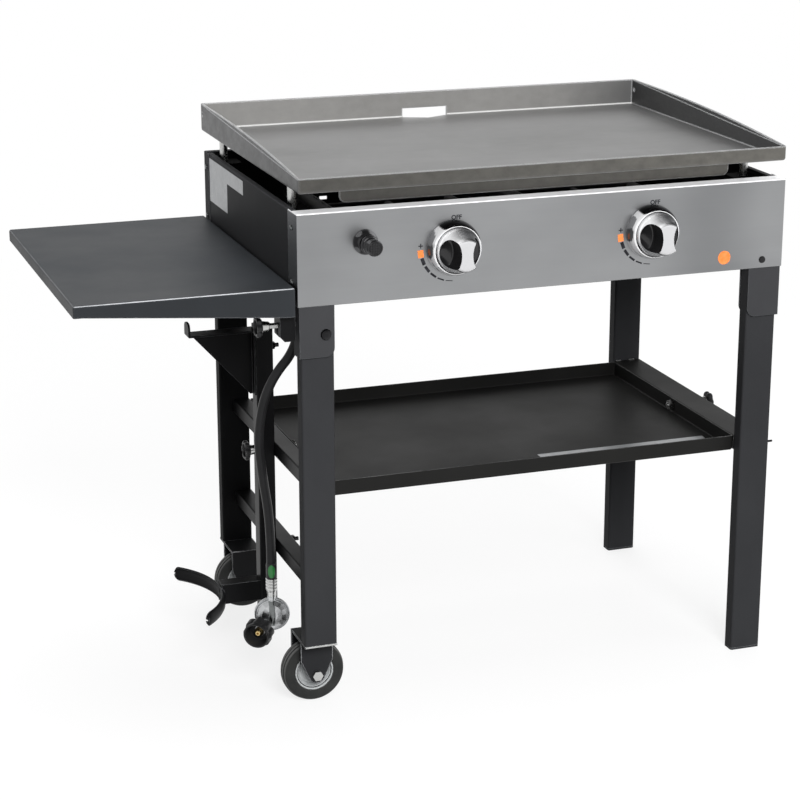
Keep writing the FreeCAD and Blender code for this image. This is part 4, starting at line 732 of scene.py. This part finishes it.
# Sleeve and label at the hose's lower end, crimp, regulator, bottle nut and nipple. A Top is how far the
# upper edge is cut in and down, a Round the reach that rounds corners; nut rows are radius, lobe depth, level
fittingSettings = {
    "end": (-370.0, 101.0, 190.0),
    "facing": (-0.25, -0.97, 0.0),
    "sleeveRadius": 7.5,
    "sleeveLength": 23.0,
    "sleeveTop": (0.9, 3.0),
    "sleeveRound": 1.0,
    "labelHalf": (5.2, 9.6),
    "labelPoints": 48,
    "labelRings": 6,
    "labelInner": 0.3,
    "labelOuter": 0.35,
    "crimpLength": 27.0,
    "crimpRadius": 8.2,
    "crimpNeck": [(0, 0), (6.6, 0), (6.6, 7.5), (7.5, 8.2), (7.5, 9.6), (8.2, 10.2)],
    "crimpBands": [(0.0, 1.6), (0.7, 2.4), (0.7, 3.4), (0.0, 4.2)],
    "crimpBandPlaces": (11.4, 16.0, 20.6),
    "crimpTop": (0.6, 1.0),
    "crimpRound": 0.5,
    "regulatorDrop": 27.0,
    "disc": ([(0, -13), (9, -13), (10, -10), (16, -9), (21, -3.4), (21.5, -2.2), (24.2, -2.2), (25, -1.4),
              (25, 1.6), (24.4, 2.4), (23.4, 2.4), (23.0, 1.4), (22.4, 1.4), (22.0, 2.8), (21.0, 3.4),
              (0, 3.4)], 0.5, 4, 84),
    "neck": ([(0, 0), (6.2, 0), (6.2, 16), (0, 16)], 0.6, 4, 48),
    "neckRise": 12.0,
    "boss": ([(0, 0), (9.6, 0), (9.6, 9.0), (8.0, 11.0), (8.0, 24.0), (0, 24.0)], 0.8, 4, 48),
    "bossBack": 14.0,
    "dome": [(0, 2.6), (20.8, 2.6), (20.6, 3.9), (14.5, 7.4), (8.0, 8.7), (0, 8.9)],
    "facets": 14,
    "facetAngle": 2.0,
    "ridge": ((27.0, 5.0, 1.5), (20.0, 5.0, 6.5), (12.0, 4.8, 9.5), (0.0, 4.6, 11.6), (-10.0, 4.5, 11.4),
              (-16.0, 4.3, 8.0)),
    "ridgeFoot": -3.0,
    "ridgeCorner": (1.6, 0.5, 2.4),
    "couplingOffset": (-17.6, -9.7, -14.8),
    "couplingAxis": (-0.573, -0.812, -0.106),
    "nutPoints": 192,
    "nutLobes": 8,
    "nutRoundness": 0.6,
    "nut": [(13.0, 0, 0.0), (14.0, 0, 0.8), (14.0, 0, 4.6), (17.0, 0.6, 5.4), (20.4, 2.8, 6.4),
            (21.0, 3.2, 8.0), (21.0, 3.2, 19.4), (20.4, 2.8, 21.0), (19.0, 0.8, 21.8), (18.6, 0, 22.4),
            (18.6, 0, 26.0), (18.0, 0, 27.0), (16.6, 0, 27.0), (15.8, 0, 26.2), (15.2, 0, 24.6),
            (14.8, 0, 10.0), (13.9, 0, 9.0), (8.2, 0, 9.0), (8.2, 0, 0.0)],
    "nipple": ([(0, 9.2), (6.7, 9.2), (6.7, 13.0), (5.2, 14.2), (5.2, 15.0), (4.4, 15.6), (5.2, 16.2),
                (5.2, 17.0), (3.2, 19.0), (1.6, 19.0), (1.6, 14.0), (0, 14.0)], 0.4, 4, 48),
}


def belowHose(*drops):
    x, y, z = fittingSettings["end"]
    return Vector((x, y, z - sum(fittingSettings[drop] for drop in drops)))


crimpFoot = belowHose("sleeveLength", "crimpLength")
regulatorCentre = belowHose("sleeveLength", "crimpLength", "regulatorDrop")
regulatorPlace = axisPlace(regulatorCentre, fittingSettings["facing"])
couplingStart = regulatorCentre + Vector(fittingSettings["couplingOffset"])
couplingPlace = axisPlace(couplingStart, fittingSettings["couplingAxis"])


def hoseSleeve():
    s = fittingSettings
    r, length = s["sleeveRadius"], s["sleeveLength"]
    across, down = s["sleeveTop"]
    profile = [(0.0, 0.0), (r, 0.0), (r, length - down), (r - across, length), (0.0, length)]
    bm = turned(eased(profile, s["sleeveRound"]))
    return addPiece("hoseSleeve", bm, "blackPlastic", replaced=("hose_label",),
                    place=axisPlace(belowHose("sleeveLength"), upward))


def hoseLabel():
    # A bare oval label bent around the sleeve
    s = fittingSettings
    middle = math.atan2(s["facing"][1], s["facing"][0])
    radius, rings = s["sleeveRadius"], s["labelRings"]
    halfWide, halfHigh = s["labelHalf"]
    loops = []
    for level, order in ((radius - s["labelInner"], range(1, rings + 1)),
                         (radius + s["labelOuter"], range(rings, 0, -1))):
        for i in order:
            loop = []
            for x, y, z in around(s["labelPoints"], 0.0, i / rings):
                turn = middle + halfWide * x / radius
                loop.append((level * math.cos(turn), level * math.sin(turn), halfHigh * y))
            loops.append(loop)
    x, y, z = s["end"]
    place = Matrix.Translation(spot(x, y, z - s["sleeveLength"] / 2)) @ Matrix.Scale(mm, 4)
    return addPiece("hoseLabel", lofted(loops), "greenPlastic", place=place)


def hoseCrimp():
    s = fittingSettings
    r, length = s["crimpRadius"], s["crimpLength"]
    bands = [(r - d, at + rise) for at in s["crimpBandPlaces"] for d, rise in s["crimpBands"]]
    across, down = s["crimpTop"]
    top = [(r, length - down), (r - across, length), (0, length)]
    bm = turned(eased(s["crimpNeck"] + bands + top, s["crimpRound"]))
    return addPiece("hoseCrimp", bm, "zincSteel", replaced=("hose_crimp",),
                    place=axisPlace(crimpFoot, upward))


def regulatorBody():
    # A disc, its neck up into the crimp and a boss out to the bottle nut
    s = fittingSettings
    bm = lathed(s["disc"], place=regulatorPlace)
    neckFoot = regulatorCentre + Vector(upward) * s["neckRise"]
    lathed(s["neck"], bm, axisPlace(neckFoot, upward))
    axis = Vector(s["couplingAxis"]).normalized()
    lathed(s["boss"], bm, axisPlace(couplingStart - axis * s["bossBack"], axis))
    return addPiece("regulatorBody", bm, "dieCast", replaced=("regulator",))


def regulatorFace():
    # Cast facets around the middle, and a ridge from the crimp across them
    s = fittingSettings
    facets = addPiece("regulatorFacets", turned(s["dome"], s["facets"]), "dieCast", place=regulatorPlace,
                      sharp=s["facetAngle"])
    ridge = []
    for along, half, rise in s["ridge"]:
        inward, drop, fall = s["ridgeCorner"]
        right = [(half, s["ridgeFoot"]), (half, rise - fall), (half - inward, rise - drop)]
        outline = right + [(0.0, rise)] + [(-across, level) for across, level in right[::-1]]
        ridge.append([(across, along, level) for across, level in outline])
    return facets, addPiece("regulatorRidge", lofted(ridge), "ridgeMetal", place=regulatorPlace)


def bottleNut():
    # Eight soft lobes between a collar and a plain front ring, and a deep open mouth
    s = fittingSettings

    def loop(radius, depth, level):
        def reach(a):
            return radius - depth * (1 - (0.5 + 0.5 * math.cos(s["nutLobes"] * a)) ** s["nutRoundness"])
        return around(s["nutPoints"], level, reach)
    rows = [loop(*row) for row in s["nut"]]
    bm = lofted(rows + rows[:1], capped=False)
    return addPiece("bottleNut", bm, "blackPlastic", "bottle_nut", ("coupling_nut",), couplingPlace)


def bottleNipple():
    bm = lathed(fittingSettings["nipple"])
    return addPiece("bottleNipple", bm, "brassFinish", replaced=("gas_nipple",), place=couplingPlace)


hosePieces = [hoseSleeve(), hoseLabel(), hoseCrimp(), regulatorBody(), *regulatorFace(), bottleNut(),
              bottleNipple()]
print("hose and fittings made")

# Burner knobs: a satin dome with a black scoop on each side of its grip, in a deep chrome bezel
knobSettings = {
    "places": {"left": -139.0, "right": 151.0},
    "level": boxBottom + 65.0,
    "bezel": ([(31.6, 0.0), (37.7, 0.0), (37.9, 1.6), (37.7, 4.8), (37.0, 9.2), (35.8, 13.6), (34.4, 17.0),
               (33.1, 18.9), (32.1, 19.4), (31.5, 19.0), (31.3, 18.0), (31.3, 2.0)], 0.7, 3, 96),
    "body": ([(0.0, 7.0), (30.4, 7.0), (30.4, 22.4), (29.9, 23.8), (29.0, 24.8), (27.9, 27.6), (26.6, 32.0),
              (25.2, 38.0), (23.9, 45.0), (22.8, 50.0), (21.4, 53.2), (19.8, 54.6), (17.6, 55.0),
              (0.0, 55.0)], 0.5, 3, 128),
    "sharp": 30.0,
    "gripRadius": 36.0,
    "gripHalf": 7.8,
    "wellRadius": 21.4,
    "wellCentre": 8.2,
    "wellMiddle": 17.8,
    "cornerPower": 10.0,
    "scoopPoints": 96,
    "scoopFloor": 24.0,
    "scoopLevels": ((0.0, 0.80), (0.7, 0.90), (2.2, 0.965), (5.0, 1.0), (60.0, 1.0)),
}


def knobPlace(x):
    return axisPlace((x, 0, knobSettings["level"]), frontward)


def knobBezels():
    s = knobSettings
    bm = bmesh.new()
    for x in s["places"].values():
        lathed(s["bezel"], bm, knobPlace(x))
    return addPiece("knobBezels", bm, "bezelChrome", replaced=("knob_bezels",))


def scoopMesh(hand):
    # The well's round wall, cut off by the hollow side of the grip, with a dished floor
    s = knobSettings
    middle, power = s["wellMiddle"], s["cornerPower"]
    circles = ((s["gripHalf"] + s["gripRadius"], s["gripRadius"]), (s["wellCentre"], s["wellRadius"]))
    outline = []
    for x, y, z in around(s["scoopPoints"], 0.0, 1.0):
        way = Vector((x, y))
        reach = 0.0
        for centre, radius in circles:
            gap = Vector((middle - centre, 0.0))
            along = gap.dot(way)
            reach += (-along + math.sqrt(along * along - gap.length_squared + radius * radius)) ** -power
        outline.append(way * reach ** (-1 / power))
    loops = [[(hand * (middle + p.x * share), hand * p.y * share, s["scoopFloor"] + rise) for p in outline]
             for rise, share in s["scoopLevels"]]
    return asMesh("scoop", lofted(loops))


def burnerKnob(side, x):
    s = knobSettings
    body = addObject("knobBody", asMesh("knobBody", lathed(s["body"])))
    body.data.materials.append(finishes["satinSilver"])
    for hand in (-1, 1):
        scoop = addObject("scoop", scoopMesh(hand))
        scoop.data.materials.append(finishes["glossBlack"])
        cut = body.modifiers.new("scoop", "BOOLEAN")
        cut.object = scoop
        cut.operation = "DIFFERENCE"
        cut.solver = "EXACT"
        cut.material_mode = "TRANSFER"
    mesh = plainMesh(body)
    for helper in [m.object for m in body.modifiers] + [body]:
        bpy.data.objects.remove(helper)
    mesh.transform(knobPlace(x))
    shadeMesh(mesh, s["sharp"])
    return addPiece("burnerKnob_" + side, mesh, "satinSilver", side + "_knob", ("burner_knob_" + side,))


knobBezels()
for side, x in knobSettings["places"].items():
    burnerKnob(side, x)
print("burner knobs made")

# Prints beside each knob: OFF, a plus, an orange block and dashes that thin out
printSettings = {
    "ringRadius": 46.0,
    "inkThickness": 0.16,
    "dashSize": (5.0, 9.8),
    "dashCount": 5,
    "dashRadius": 45.2,
    "dashStart": 200.8,
    "dashStep": 15.6,
    "lastWidth": 0.20,
    "blockAngle": 186.8,
    "blockSize": (8.2, 10.4),
    "plusAngle": 173.4,
    "plusSize": 6.4,
    "plusWidth": 1.5,
    "plusLayer": 1.2,
    "wordSize": 8.4,
    "wordBold": 0.26,
    "wordPlace": (4.7, 40.6, 0.0),
    "dotCentre": (264.5, 0.0, boxBottom + 19.5),
    "dotRadius": 9.6,
    "dotSteps": 64,
}


def textMesh(word):
    s = printSettings
    data = bpy.data.curves.new("word", "FONT")
    data.body = word
    data.size = s["wordSize"]
    data.align_x = "CENTER"
    data.align_y = "CENTER"
    data.extrude = s["inkThickness"] / 2
    data.offset = s["wordBold"]
    holder = addObject("word", data)
    mesh = plainMesh(holder)
    bpy.data.objects.remove(holder)
    return mesh


def knobPrints(side, x):
    s = printSettings
    place, ink = knobPlace(x), s["inkThickness"]
    word = textMesh("OFF")
    word.transform(place @ Matrix.Translation(s["wordPlace"]))
    addPiece("offWord_" + side, word, "blackPrint")
    turn = math.radians(s["plusAngle"])
    middle = Vector((s["ringRadius"] * math.cos(turn), s["ringRadius"] * math.sin(turn), 0))
    bm = boxed((s["plusSize"], s["plusWidth"], ink), middle)
    boxed((s["plusWidth"], s["plusSize"], ink * s["plusLayer"]), middle, bm)
    addPiece("plusSign_" + side, bm, "blackPrint", place=place)
    turn = Matrix.Rotation(math.radians(s["blockAngle"]), 4, "Z")
    blockPlace = place @ (turn @ Matrix.Translation((s["ringRadius"], 0, 0)))
    addPiece("orangeBlock_" + side, boxed((*s["blockSize"], ink), (0, 0, 0)), "orangePrint", place=blockPlace)
    dash = asMesh("dash", boxed((*s["dashSize"], ink), (0, 0, 0)))
    putOnArc("dashes_" + side, dash, place, "blackPrint", "stand", count=s["dashCount"],
             radius=s["dashRadius"], start=math.radians(s["dashStart"]), step=math.radians(s["dashStep"]),
             lastScale=s["lastWidth"])


def orangeDot():
    s = printSettings
    radius, ink = s["dotRadius"], s["inkThickness"]
    bm = turned([(0, 0), (radius, 0), (radius, ink), (0, ink)], s["dotSteps"])
    addPiece("orangeDot", bm, "orangePrint", place=axisPlace(s["dotCentre"], frontward))


for side, x in knobSettings["places"].items():
    knobPrints(side, x)
orangeDot()
print("prints made")

# Igniter: a domed black chrome bezel, a stepped button and a small grid on its tip
igniterSettings = {
    "centre": (-262.0, 0.0, boxBottom + 82.0),
    "bezel": ([(11.7, 0.0), (16.6, 0.0), (17.0, 1.0), (16.9, 3.0), (16.4, 5.4), (15.6, 7.8), (14.6, 10.0),
               (13.4, 12.0), (12.5, 13.0), (11.9, 13.2), (11.7, 12.4)], 0.5, 3, 96),
    "button": ([(0.0, -22.0), (7.7, -22.0), (7.7, 5.0), (11.2, 5.0), (11.2, 17.5), (12.4, 17.9),
                (12.8, 18.7), (12.6, 20.0), (11.4, 20.7), (10.6, 21.2), (10.6, 22.4), (11.6, 23.2),
                (11.8, 24.8), (11.4, 27.0), (10.4, 28.0), (9.8, 28.6), (9.8, 30.0), (10.6, 30.8),
                (10.8, 32.4), (10.7, 40.8), (10.1, 42.2), (9.0, 42.8), (8.4, 42.8), (8.2, 42.2),
                (0.0, 42.2)], 0.35, 3, 72),
    "gridPlaces": (-6.8, -3.4, 0.0, 3.4, 6.8),
    "gridReach": 8.0,
    "gridWire": 0.8,
    "gridCrossWire": 0.7,
    "gridLevel": 42.4,
    "ribs": 30,
    "ribSize": (0.7, 0.9, 7.6),
    "ribLevel": 36.8,
    "ribRadius": 10.7,
}


def igniterPieces():
    s = igniterSettings
    place = axisPlace(s["centre"], frontward)
    addPiece("igniterBezel", lathed(s["bezel"]), "blackChrome", replaced=("igniter_bezel",), place=place)
    addPiece("igniterButton", lathed(s["button"]), "blackChrome", "igniter", ("igniter_button",), place)
    bm = bmesh.new()
    wire, level = s["gridWire"], s["gridLevel"]
    for across in s["gridPlaces"]:
        length = 2 * math.sqrt(s["gridReach"] ** 2 - across ** 2)
        boxed((wire, length, wire), (across, 0, level), bm)
        boxed((length, wire, s["gridCrossWire"]), (0, across, level), bm)
    addPiece("igniterGrid", bm, "blackPlastic", "igniter", place=place)
    rib = asMesh("rib", boxed(s["ribSize"], (0, 0, s["ribLevel"])))
    putOnArc("igniterRibs", rib, place, "blackChrome", "igniter", count=s["ribs"], radius=s["ribRadius"],
             start=0.0, step=2 * math.pi / s["ribs"], lastScale=1.0)


igniterPieces()
print("igniter made")

# Star knobs: a dished grip with soft lobes on a bright metal hub and a threaded stud
starSettings = {
    "outer": 14.5,
    "points": 120,
    "lobes": 6,
    "lobeDepth": 2.6,
    "lobeRoundness": 1.4,
    "gripStart": 9.0,
    "grip": [(0.0, 0.42), (0.6, 0.62), (1.6, 0.84), (3.0, 0.96), (4.6, 1.0), (6.6, 1.0), (8.0, 0.965),
             (9.0, 0.88)],
    "dish": [(9.0, 0.74), (8.4, 0.66), (5.4, 0.60), (5.0, 0.52)],
    "hub": ([(0.0, 0.0), (5.6, 0.0), (6.2, 0.6), (6.6, 3.0), (7.4, 7.6), (8.0, 9.6), (0.0, 9.6)], 0.5, 3, 48),
    "hubSharp": 60.0,
    "studRadius": 3.9,
    "threadPitch": 1.25,
    "thread": ((0.0, 0.0), (0.0, 0.25), (0.5, 0.55), (0.5, 0.75)),
    "studTip": 0.8,
    "studInside": 1.0,
    "studSteps": 32,
}


def starKnob(node, body, face, way, studLength):
    s = starSettings
    place = axisPlace(face, way)

    def lobed(level, share):
        radius, depth = s["outer"] * share, s["lobeDepth"] * share

        def reach(a):
            return radius - depth * (0.5 - 0.5 * math.cos(s["lobes"] * a)) ** s["lobeRoundness"]
        return around(s["points"], level + s["gripStart"], reach)
    rows = [lobed(*row) for row in s["grip"]]
    rows += [around(s["points"], level + s["gripStart"], s["outer"] * share) for level, share in s["dish"]]
    addPiece("grip_" + node, lofted(rows), "blackPlastic", body, (node,), place)
    bm = lathed(s["hub"])
    r, pitch = s["studRadius"], s["threadPitch"]
    turns = [(r - depth, -k * pitch - share * pitch) for k in range(int(studLength / pitch))
             for depth, share in s["thread"]]
    stud = [(0.0, s["studInside"]), *turns, (r - s["studTip"], -studLength), (0.0, -studLength)]
    turned(stud, s["studSteps"], bm)
    addPiece("hub_" + node, bm, "zincSteel", body, place=place, sharp=s["hubSharp"])


starPlaces = {
    "shelf_knob_left": ("left_shelf_knob", (-354.8, 224.5, 316.5), leftward, 60.0),
    "shelf_knob_right": ("right_shelf_knob", (350.8, 224.5, 316.5), rightward, 56.0),
    "side_knob_front": ("front_side_knob", (-389.0, 24.0, 553.0), leftward, 35.0),
    "side_knob_rear": ("rear_side_knob", (-389.0, 441.0, 553.0), leftward, 35.0),
}
for node, values in starPlaces.items():
    starKnob(node, *values)
print("star knobs made")

# Wheels: a pressed rim with a bright lip and a groove on each side, and a soft tyre with two grooves
wheelSettings = {
    "rim": (mirrored([(4.05, -21.6), (8.6, -21.6), (9.2, -20.6), (9.4, -6.0), (11.4, -2.6), (16.0, -1.6),
                      (20.2, -2.6), (22.2, -5.6), (23.2, -9.2), (24.0, -9.6), (24.3, -8.0), (25.1, -8.0),
                      (25.4, -11.2), (26.0, -11.9), (27.3, -11.6), (27.5, -10.6)]), 0.4, 3, 96),
    "tyre": (mirrored([(27.5, -11.0), (28.6, -12.4), (31.0, -13.0), (36.0, -13.0), (39.6, -12.6),
                       (42.0, -11.2), (43.2, -9.2), (43.4, -7.2), (42.7, -6.6), (43.4, -6.0), (44.4, -5.4),
                       (44.5, -1.4), (43.4, -0.9)]), 0.6, 3, 120),
    "groove": [(24.2, 7.6), (25.2, 7.6), (25.2, 9.4), (24.2, 9.4)],
    "grooveSteps": 96,
}


def wheel(end):
    s = wheelSettings
    low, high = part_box("wheel_rim_" + end)
    place, body = metrePlace((low + high) / 2, frontward), end + "_wheel"
    addPiece("rim_" + end, lathed(s["rim"]), "greyPlastic", body, ("wheel_rim_" + end,), place)
    bm = bmesh.new()
    for hand in (-1, 1):
        turned([(r, hand * d) for r, d in s["groove"]], s["grooveSteps"], bm)
    addPiece("groove_" + end, bm, "blackPlastic", body, place=place)
    addPiece("tyre_" + end + "_rubber", lathed(s["tyre"]), "tyreFinish", body, ("tyre_" + end,), place)


for end in ("front", "rear"):
    wheel(end)
print("wheels made")

# Cradle for the gas bottle: a rolled gutter bent to the bottle's radius, on a short arm
cradleSettings = {
    "centre": (-541.8, 224.5, 104.0),
    "radius": 128.6,
    "halfAngle": 49.0,
    "steps": 72,
    "section": [(-1.6, -10.0), (0.4, -8.2), (2.2, -5.0), (2.9, 0.0), (2.2, 5.0), (0.4, 8.2), (-1.6, 10.0)],
    "steel": 2.6,
    "roundFrom": 0.93,
    "leastHeight": 0.02,
    "arm": [(-11.0, -15.0), (-11.0, 15.0), (11.0, 15.0), (11.0, -15.0), (8.0, -15.0), (8.0, 12.0),
            (-8.0, 12.0), (-8.0, -15.0)],
    "armEnds": (0.2, 60.2),
}


def bottleCradle():
    s = cradleSettings
    path = [Vector(p) for p in s["section"]]
    sides = []
    for k, point in enumerate(path):
        way = (path[min(k + 1, len(path) - 1)] - path[max(k - 1, 0)]).normalized()
        across = Vector((way.y, -way.x)) * s["steel"] / 2
        sides.append((point + across, point - across))
    outline = [side[0] for side in sides] + [side[1] for side in sides[::-1]]
    loops = []
    for k in range(s["steps"] + 1):
        # More sections towards the ends, which are rounded off
        share = math.sin(math.pi * (k / s["steps"] - 0.5))
        a = math.radians(s["halfAngle"] * share)
        past = max(0.0, (abs(share) - s["roundFrom"]) / (1 - s["roundFrom"]))
        tall = math.sqrt(max(s["leastHeight"], 1 - past ** 2))
        loops.append([((s["radius"] + p.x) * math.cos(a), (s["radius"] + p.x) * math.sin(a), p.y * tall)
                      for p in outline])
    bm = lofted(loops)
    lofted([[(s["radius"] + at, across, rise) for across, rise in s["arm"]] for at in s["armEnds"]], bm)
    place = Matrix.Translation(spot(*s["centre"])) @ Matrix.Scale(mm, 4)
    return addPiece("bottleCradle", bm, "barCoat", replaced=("tank_cradle",), place=place)


bottleCradle()
print("cradle made")

# Screws at the box's corners and behind it, with a cross recess in each head
screwSettings = {
    "radius": 3.6,
    "rise": 2.2,
    "points": 48,
    "foot": (-0.3, 0.5),
    "dome": ((0.93, 0.62), (0.78, 0.88), (0.62, 1.0)),
    "crossReach": 2.1,
    "crossHalf": 0.42,
    "crossDepth": 1.4,
    "crossFoot": 0.8,
    "sideX": 355.5,
    "sideDepths": (24.0, 467.0),
    "sideRises": (103.0, 30.0),
    "rearX": (-50.0, 50.0),
    "rearY": 480.0,
    "rearRise": 112.0,
    "seed": 7,
}


def screwHead():
    s = screwSettings
    r, h = s["radius"], s["rise"]

    def cross(share, level):
        def reach(a):
            thin = max(min(abs(math.cos(a)), abs(math.sin(a))), s["crossHalf"] / s["crossReach"])
            return share * s["crossHalf"] / thin
        return around(s["points"], level, reach)
    rows = [around(s["points"], level, r) for level in s["foot"]]
    rows += [around(s["points"], h * rise, r * share) for share, rise in s["dome"]]
    rows += [cross(1.0, h), cross(s["crossFoot"], h - s["crossDepth"])]
    return asMesh("screwHead", lofted(rows), Matrix.Scale(mm, 4))


def boxScrews():
    s = screwSettings
    spots = [((way[0] * s["sideX"], depth, boxBottom + rise), way) for depth in s["sideDepths"]
             for way in (leftward, rightward) for rise in s["sideRises"]]
    spots += [((x, s["rearY"], boxBottom + s["rearRise"]), rearward) for x in s["rearX"]]
    putOnSpots("boxScrews", screwHead(), spots, "ridgeMetal", turn=2 * math.pi, seed=s["seed"])


boxScrews()
print("screws placed")

# A bare sticker on the left side panel and a bare strip on the bottom shelf
stickerSettings = {
    "outline": [(452.0, 119.0), (265.0, 119.0), (265.0, 98.5), (352.0, 98.5), (352.0, 55.0), (452.0, 55.0)],
    "faces": (-354.5, -354.75),
    "stripSize": (262.4, 13.0, 0.3),
    "stripCentre": (159.8, 90.5, 306.4),
}


def stickers():
    s = stickerSettings
    loops = [[(x, y, boxBottom + z) for y, z in s["outline"]] for x in s["faces"]]
    addPiece("sideSticker", lofted(loops, place=fromPanel), "stickerFoil")
    addPiece("shelfStrip", boxed(s["stripSize"], s["stripCentre"], place=fromPanel), "stickerFoil")


stickers()
print("stickers made")

# Curved tops of the plate's side walls, whose straight tops run from the front point (Y, Z) to the rear one
wallSettings = {
    "faces": (353.48, 350.52),
    "from": 3.0,
    "to": 498.0,
    "front": (-2.0, 751.0),
    "rear": (502.0, 772.0),
    "bulge": 2.2,
    "steps": 40,
    "sunk": 0.4,
    "least": 0.1,
}


def wallCurves():
    s = wallSettings
    (y0, z0), (y1, z1) = s["front"], s["rear"]
    low, high = [], []
    for k in range(s["steps"] + 1):
        y = s["from"] + (s["to"] - s["from"]) * k / s["steps"]
        t = (y - y0) / (y1 - y0)
        low.append((y, z0 + (z1 - z0) * t - s["sunk"]))
        high.append((y, max(z0 + (z1 - z0) * (1 - (1 - t) ** s["bulge"]), low[-1][1] + s["least"])))
    bm = bmesh.new()
    for hand in (-1, 1):
        lofted([[(hand * x, y, z) for y, z in low + high[::-1]] for x in s["faces"]], bm)
    addPiece("wallCurves", bm, "cookingSteel", "griddle", place=fromPanel)


# Bare weld lines, and two small black bolts on the bottle's bar and the lower cross bar
smallSettings = {
    "welds": (((44.5, 0.5, 2.4), (-327.8, 3.25, 96.7)), ((9.0, 1.6, 1.4), (313.0, 440.2, 327.4)),
              ((9.0, 1.6, 1.4), (336.0, 440.2, 327.4))),
    "bolts": ((-329.8, 224.5, 469.0), (-304.8, 224.5, 173.0)),
    "headRadius": 6.0,
    "headSides": 6,
    "tipSteps": 24,
    "head": [(0.85, 0.0), (1.0, 0.6), (1.0, 4.4), (0.88, 5.2)],
    "tip": [(0, 5.0), (3.0, 5.0), (3.0, 11.0), (0, 11.0)],
}


def smallParts():
    s = smallSettings
    welds, bolts = bmesh.new(), bmesh.new()
    for size, centre in s["welds"]:
        boxed(size, centre, welds, fromPanel)
    addPiece("weldLines", welds, "zincSteel")
    for centre in s["bolts"]:
        place = axisPlace(centre, rightward)
        head = [around(s["headSides"], level, share * s["headRadius"]) for share, level in s["head"]]
        lofted(head, bolts, place)
        turned(s["tip"], s["tipSteps"], bolts, place)
    addPiece("barBolts", bolts, "blackOxide")


wallCurves()
smallParts()
print("small parts placed")

# Stage: pale floor that keeps the shadow, white surround, soft lamps
stageSettings = {
    "white": (1.0, 1.0, 1.0),
    "floorHalf": 12.0,
    "floorRoughness": 0.9,
    "seenFloor": (0.95, 0.95, 0.95),
    "bounceFloor": (0.12, 0.12, 0.12),
    "whiteShare": 0.80,
    "fadeFrom": 0.9,
    "fadeTo": 2.6,
    "worldLight": (0.93, 0.95, 1.0),
    "worldStrength": 0.10,
    "ceilingFrom": 0.45,
    "ceilingTo": 0.80,
    "ceiling": 0.10,
    "lampAim": (0.0, 0.0, 0.5),
    "lamps": (
        ("keyLamp", (-0.3, -4.3, 2.9), 2.2, 310.0),
        ("fillLamp", (3.0, -3.0, 1.8), 2.4, 30.0),
        ("topLamp", (0.2, 0.4, 3.6), 2.6, 90.0),
        ("rearLamp", (1.0, 3.4, 2.4), 2.2, 45.0),
    ),
}


def seenRays(f):
    rays = f.add("ShaderNodeLightPath").outputs
    return f.plus(f.plus(rays["Is Camera Ray"], rays["Is Glossy Ray"]), rays["Is Transmission Ray"])


def addFloor():
    s = stageSettings
    half = s["floorHalf"]
    mesh = bpy.data.meshes.new("floor")
    corners = [(-half, -half, 0), (half, -half, 0), (half, half, 0), (-half, half, 0)]
    mesh.from_pydata(corners, [], [range(len(corners))])
    floor = addObject("floor", mesh)
    f = Finish("floorFinish", {"Roughness": s["floorRoughness"]})
    seen = seenRays(f)
    mesh.materials.append(f.done({"Base Color": f.blend(seen, s["bounceFloor"], s["seenFloor"])}))
    # White away from the object, where no shadow falls
    place = f.out("ShaderNodeTexCoord", output="Object")
    away = f.out("ShaderNodeVectorMath", {0: place}, "Value", operation="LENGTH")
    share = f.times(seen, f.remap(away, s["fadeFrom"], s["fadeTo"], s["whiteShare"], 1.0))
    glow = f.out("ShaderNodeEmission", {"Color": s["white"], "Strength": 1.0})
    mixed = f.out("ShaderNodeMixShader", {0: share, 1: f.shader.outputs[0], 2: glow})
    f.feed(next(n for n in f.tree.nodes if n.type == "OUTPUT_MATERIAL").inputs[0], mixed)


def addWorld():
    # Even light on the object; what is seen and reflected is white, and darker high overhead
    s = stageSettings
    world = bpy.data.worlds.new("studio")
    world.use_nodes = True
    bpy.context.scene.world = world
    world.node_tree.nodes.clear()
    f = Nodes(world.node_tree)
    lit = f.out("ShaderNodeBackground", {"Color": s["worldLight"], "Strength": s["worldStrength"]})
    rise = f.axisOf("Generated", "Z")
    level = f.remap(rise, s["ceilingFrom"], s["ceilingTo"], 1.0, s["ceiling"])
    seen = f.out("ShaderNodeBackground", {"Color": s["white"], "Strength": level})
    mixed = f.out("ShaderNodeMixShader", {0: seenRays(f), 1: lit, 2: seen})
    f.add("ShaderNodeOutputWorld", {0: mixed})


def addLamps():
    s = stageSettings
    for name, place, size, power in s["lamps"]:
        data = bpy.data.lights.new(name, "AREA")
        data.energy = power
        data.size = size
        lamp = addObject(name, data)
        lamp.location = place
        lamp.rotation_euler = (Vector(s["lampAim"]) - lamp.location).to_track_quat("-Z", "Y").to_euler()
        lamp.visible_glossy = False  # metal mirrors the white surround, not the lamps


addFloor()
addWorld()
addLamps()
bpy.context.scene.view_settings.view_transform = "Standard"
print("stage set")
